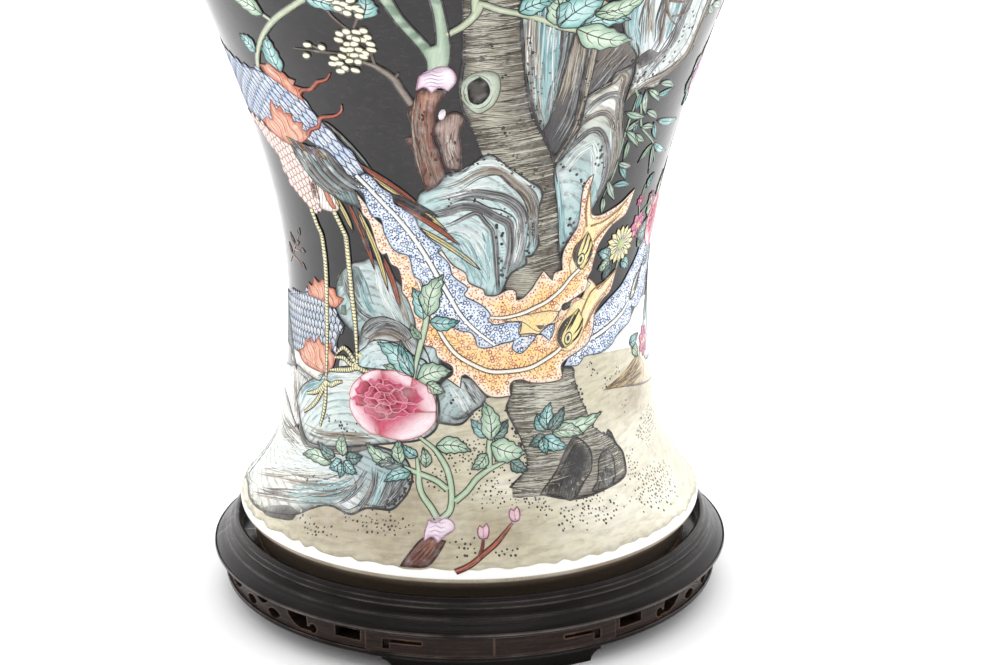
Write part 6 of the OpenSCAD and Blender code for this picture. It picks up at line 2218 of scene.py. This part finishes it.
def finish_stand():
    """Dark wood for what shows, with a lighter copy on the aprons as painted sheen, the same wood without
    polish for what is hidden.
    """
    # The grey edge colour of the dark wood is partly a painted highlight along the beads.
    dark = hardwood("dark_hardwood", (15, 11, 11), (104, 92, 88), 0.17)
    # The aprons' wood is a lighter copy of the dark wood: painted sheen for the light on their upright
    # faces, with reddish worn edges.
    worn = hardwood("apron_hardwood_wear_and_sheen", (38, 30, 27), (122, 84, 60), 0.22)
    plain_wood = hardwood("inner_hardwood", (92, 66, 50), (120, 88, 66), 0.55, turn_grain=False)
    inner = ("top_ring_tongues", "centre_panel", "panel_batten", "apron_tongues", "ring_dowels",
             "foot_dowels", "base_pins")
    for name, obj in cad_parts.items():
        if name in ("apron_a", "apron_b", "apron_c"):
            paint(worn, obj)
        elif name != "vase":
            paint(plain_wood if name in inner else dark, obj)


# ---- floor, light and camera ----

def make_floor():
    """A white studio floor, wide enough to fill the view."""
    mesh = bpy.data.meshes.new("floor")
    reach = 12
    mesh.from_pydata([(-reach, -reach, 0), (reach, -reach, 0), (reach, reach, 0),
                      (-reach, reach, 0)], [], [(0, 1, 2, 3)])
    floor = bpy.data.objects.new("floor", mesh)
    bpy.context.scene.collection.objects.link(floor)
    m = Shader("studio_floor")
    m.set(Base_Color=m.mix(m.noise(m.coords(), 4), linear((246, 246, 246)), linear((250, 250, 250))),
          Roughness=0.85)
    paint(m.material, floor)


def make_world():
    """A bright backdrop behind the vase and a dimmer room in front, seen in reflections."""
    world = bpy.data.worlds.new("studio")
    bpy.context.scene.world = world
    world.use_nodes = True
    tree = world.node_tree
    tree.nodes.clear()
    out = tree.nodes.new("ShaderNodeOutputWorld")
    at = tree.nodes.new("ShaderNodeTexCoord")
    axes = tree.nodes.new("ShaderNodeSeparateXYZ")
    ramp = tree.nodes.new("ShaderNodeMapRange")
    ramp.interpolation_type = "SMOOTHSTEP"
    for key, value in (("From Min", -0.5), ("From Max", 0.6), ("To Min", 0.6), ("To Max", 3.0)):
        ramp.inputs[key].default_value = value
    glow = tree.nodes.new("ShaderNodeBackground")
    white = tree.nodes.new("ShaderNodeBackground")
    rays = tree.nodes.new("ShaderNodeLightPath")
    choose = tree.nodes.new("ShaderNodeMixShader")
    tree.links.new(at.outputs["Generated"], axes.inputs[0])
    tree.links.new(axes.outputs["Y"], ramp.inputs["Value"])
    tree.links.new(ramp.outputs["Result"], glow.inputs["Strength"])
    tree.links.new(rays.outputs["Is Camera Ray"], choose.inputs[0])
    tree.links.new(glow.outputs[0], choose.inputs[1])
    tree.links.new(white.outputs[0], choose.inputs[2])
    tree.links.new(choose.outputs[0], out.inputs["Surface"])
    white.inputs["Color"].default_value = (1, 1, 1, 1)
    white.inputs["Strength"].default_value = 1.05


def add_light(name, place, target, size, power):
    """A rectangular soft light, in metres and watts, aimed at a target."""
    data = bpy.data.lights.new(name, "AREA")
    data.shape = "RECTANGLE"
    data.size, data.size_y = size
    data.energy = power
    lamp = bpy.data.objects.new(name, data)
    bpy.context.scene.collection.objects.link(lamp)
    lamp.location = place
    lamp.rotation_euler = (Vector(target) - Vector(place)).to_track_quat("-Z", "Y").to_euler()


def make_lights():
    """One soft light above and one at each side."""
    centre = (0, 0, 0.2)
    add_light("soft_top", (0, -0.4, 2.2), centre, (1.6, 1.2), 17)
    add_light("soft_left", (-1.9, -0.9, 0.9), centre, (1.0, 1.6), 9)
    add_light("soft_right", (1.9, -0.9, 0.9), centre, (1.0, 1.6), 9)


def make_camera():
    """Looks down at the lower part of the vase from the front, as the photograph does."""
    distance, down, aim_height = 1.125, math.radians(18.1), 0.1223
    yaw, roll = math.radians(0.77), math.radians(-0.5)
    data = bpy.data.cameras.new("camera")
    data.sensor_width, data.lens = 36, 85
    camera = bpy.data.objects.new("camera", data)
    bpy.context.scene.collection.objects.link(camera)
    bpy.context.scene.camera = camera
    forward, right = Vector((0, math.cos(down), -math.sin(down))), Vector((1, 0, 0))
    up = right.cross(forward)
    ahead = forward * math.cos(yaw) + right * math.sin(yaw)
    side = right * math.cos(yaw) - forward * math.sin(yaw)
    right = side * math.cos(roll) + up * math.sin(roll)
    up = up * math.cos(roll) - side * math.sin(roll)
    place = Vector((0, -distance * math.cos(down), aim_height + distance * math.sin(down)))
    camera.matrix_world = Matrix((
        (right.x, up.x, -ahead.x, place.x), (right.y, up.y, -ahead.y, place.y),
        (right.z, up.z, -ahead.z, place.z), (0, 0, 0, 1)))


bpy.context.scene.view_settings.view_transform = "Standard"
make_camera()
make_world()
make_lights()
make_floor()
make_vase()
finish_stand()
paint_vase()
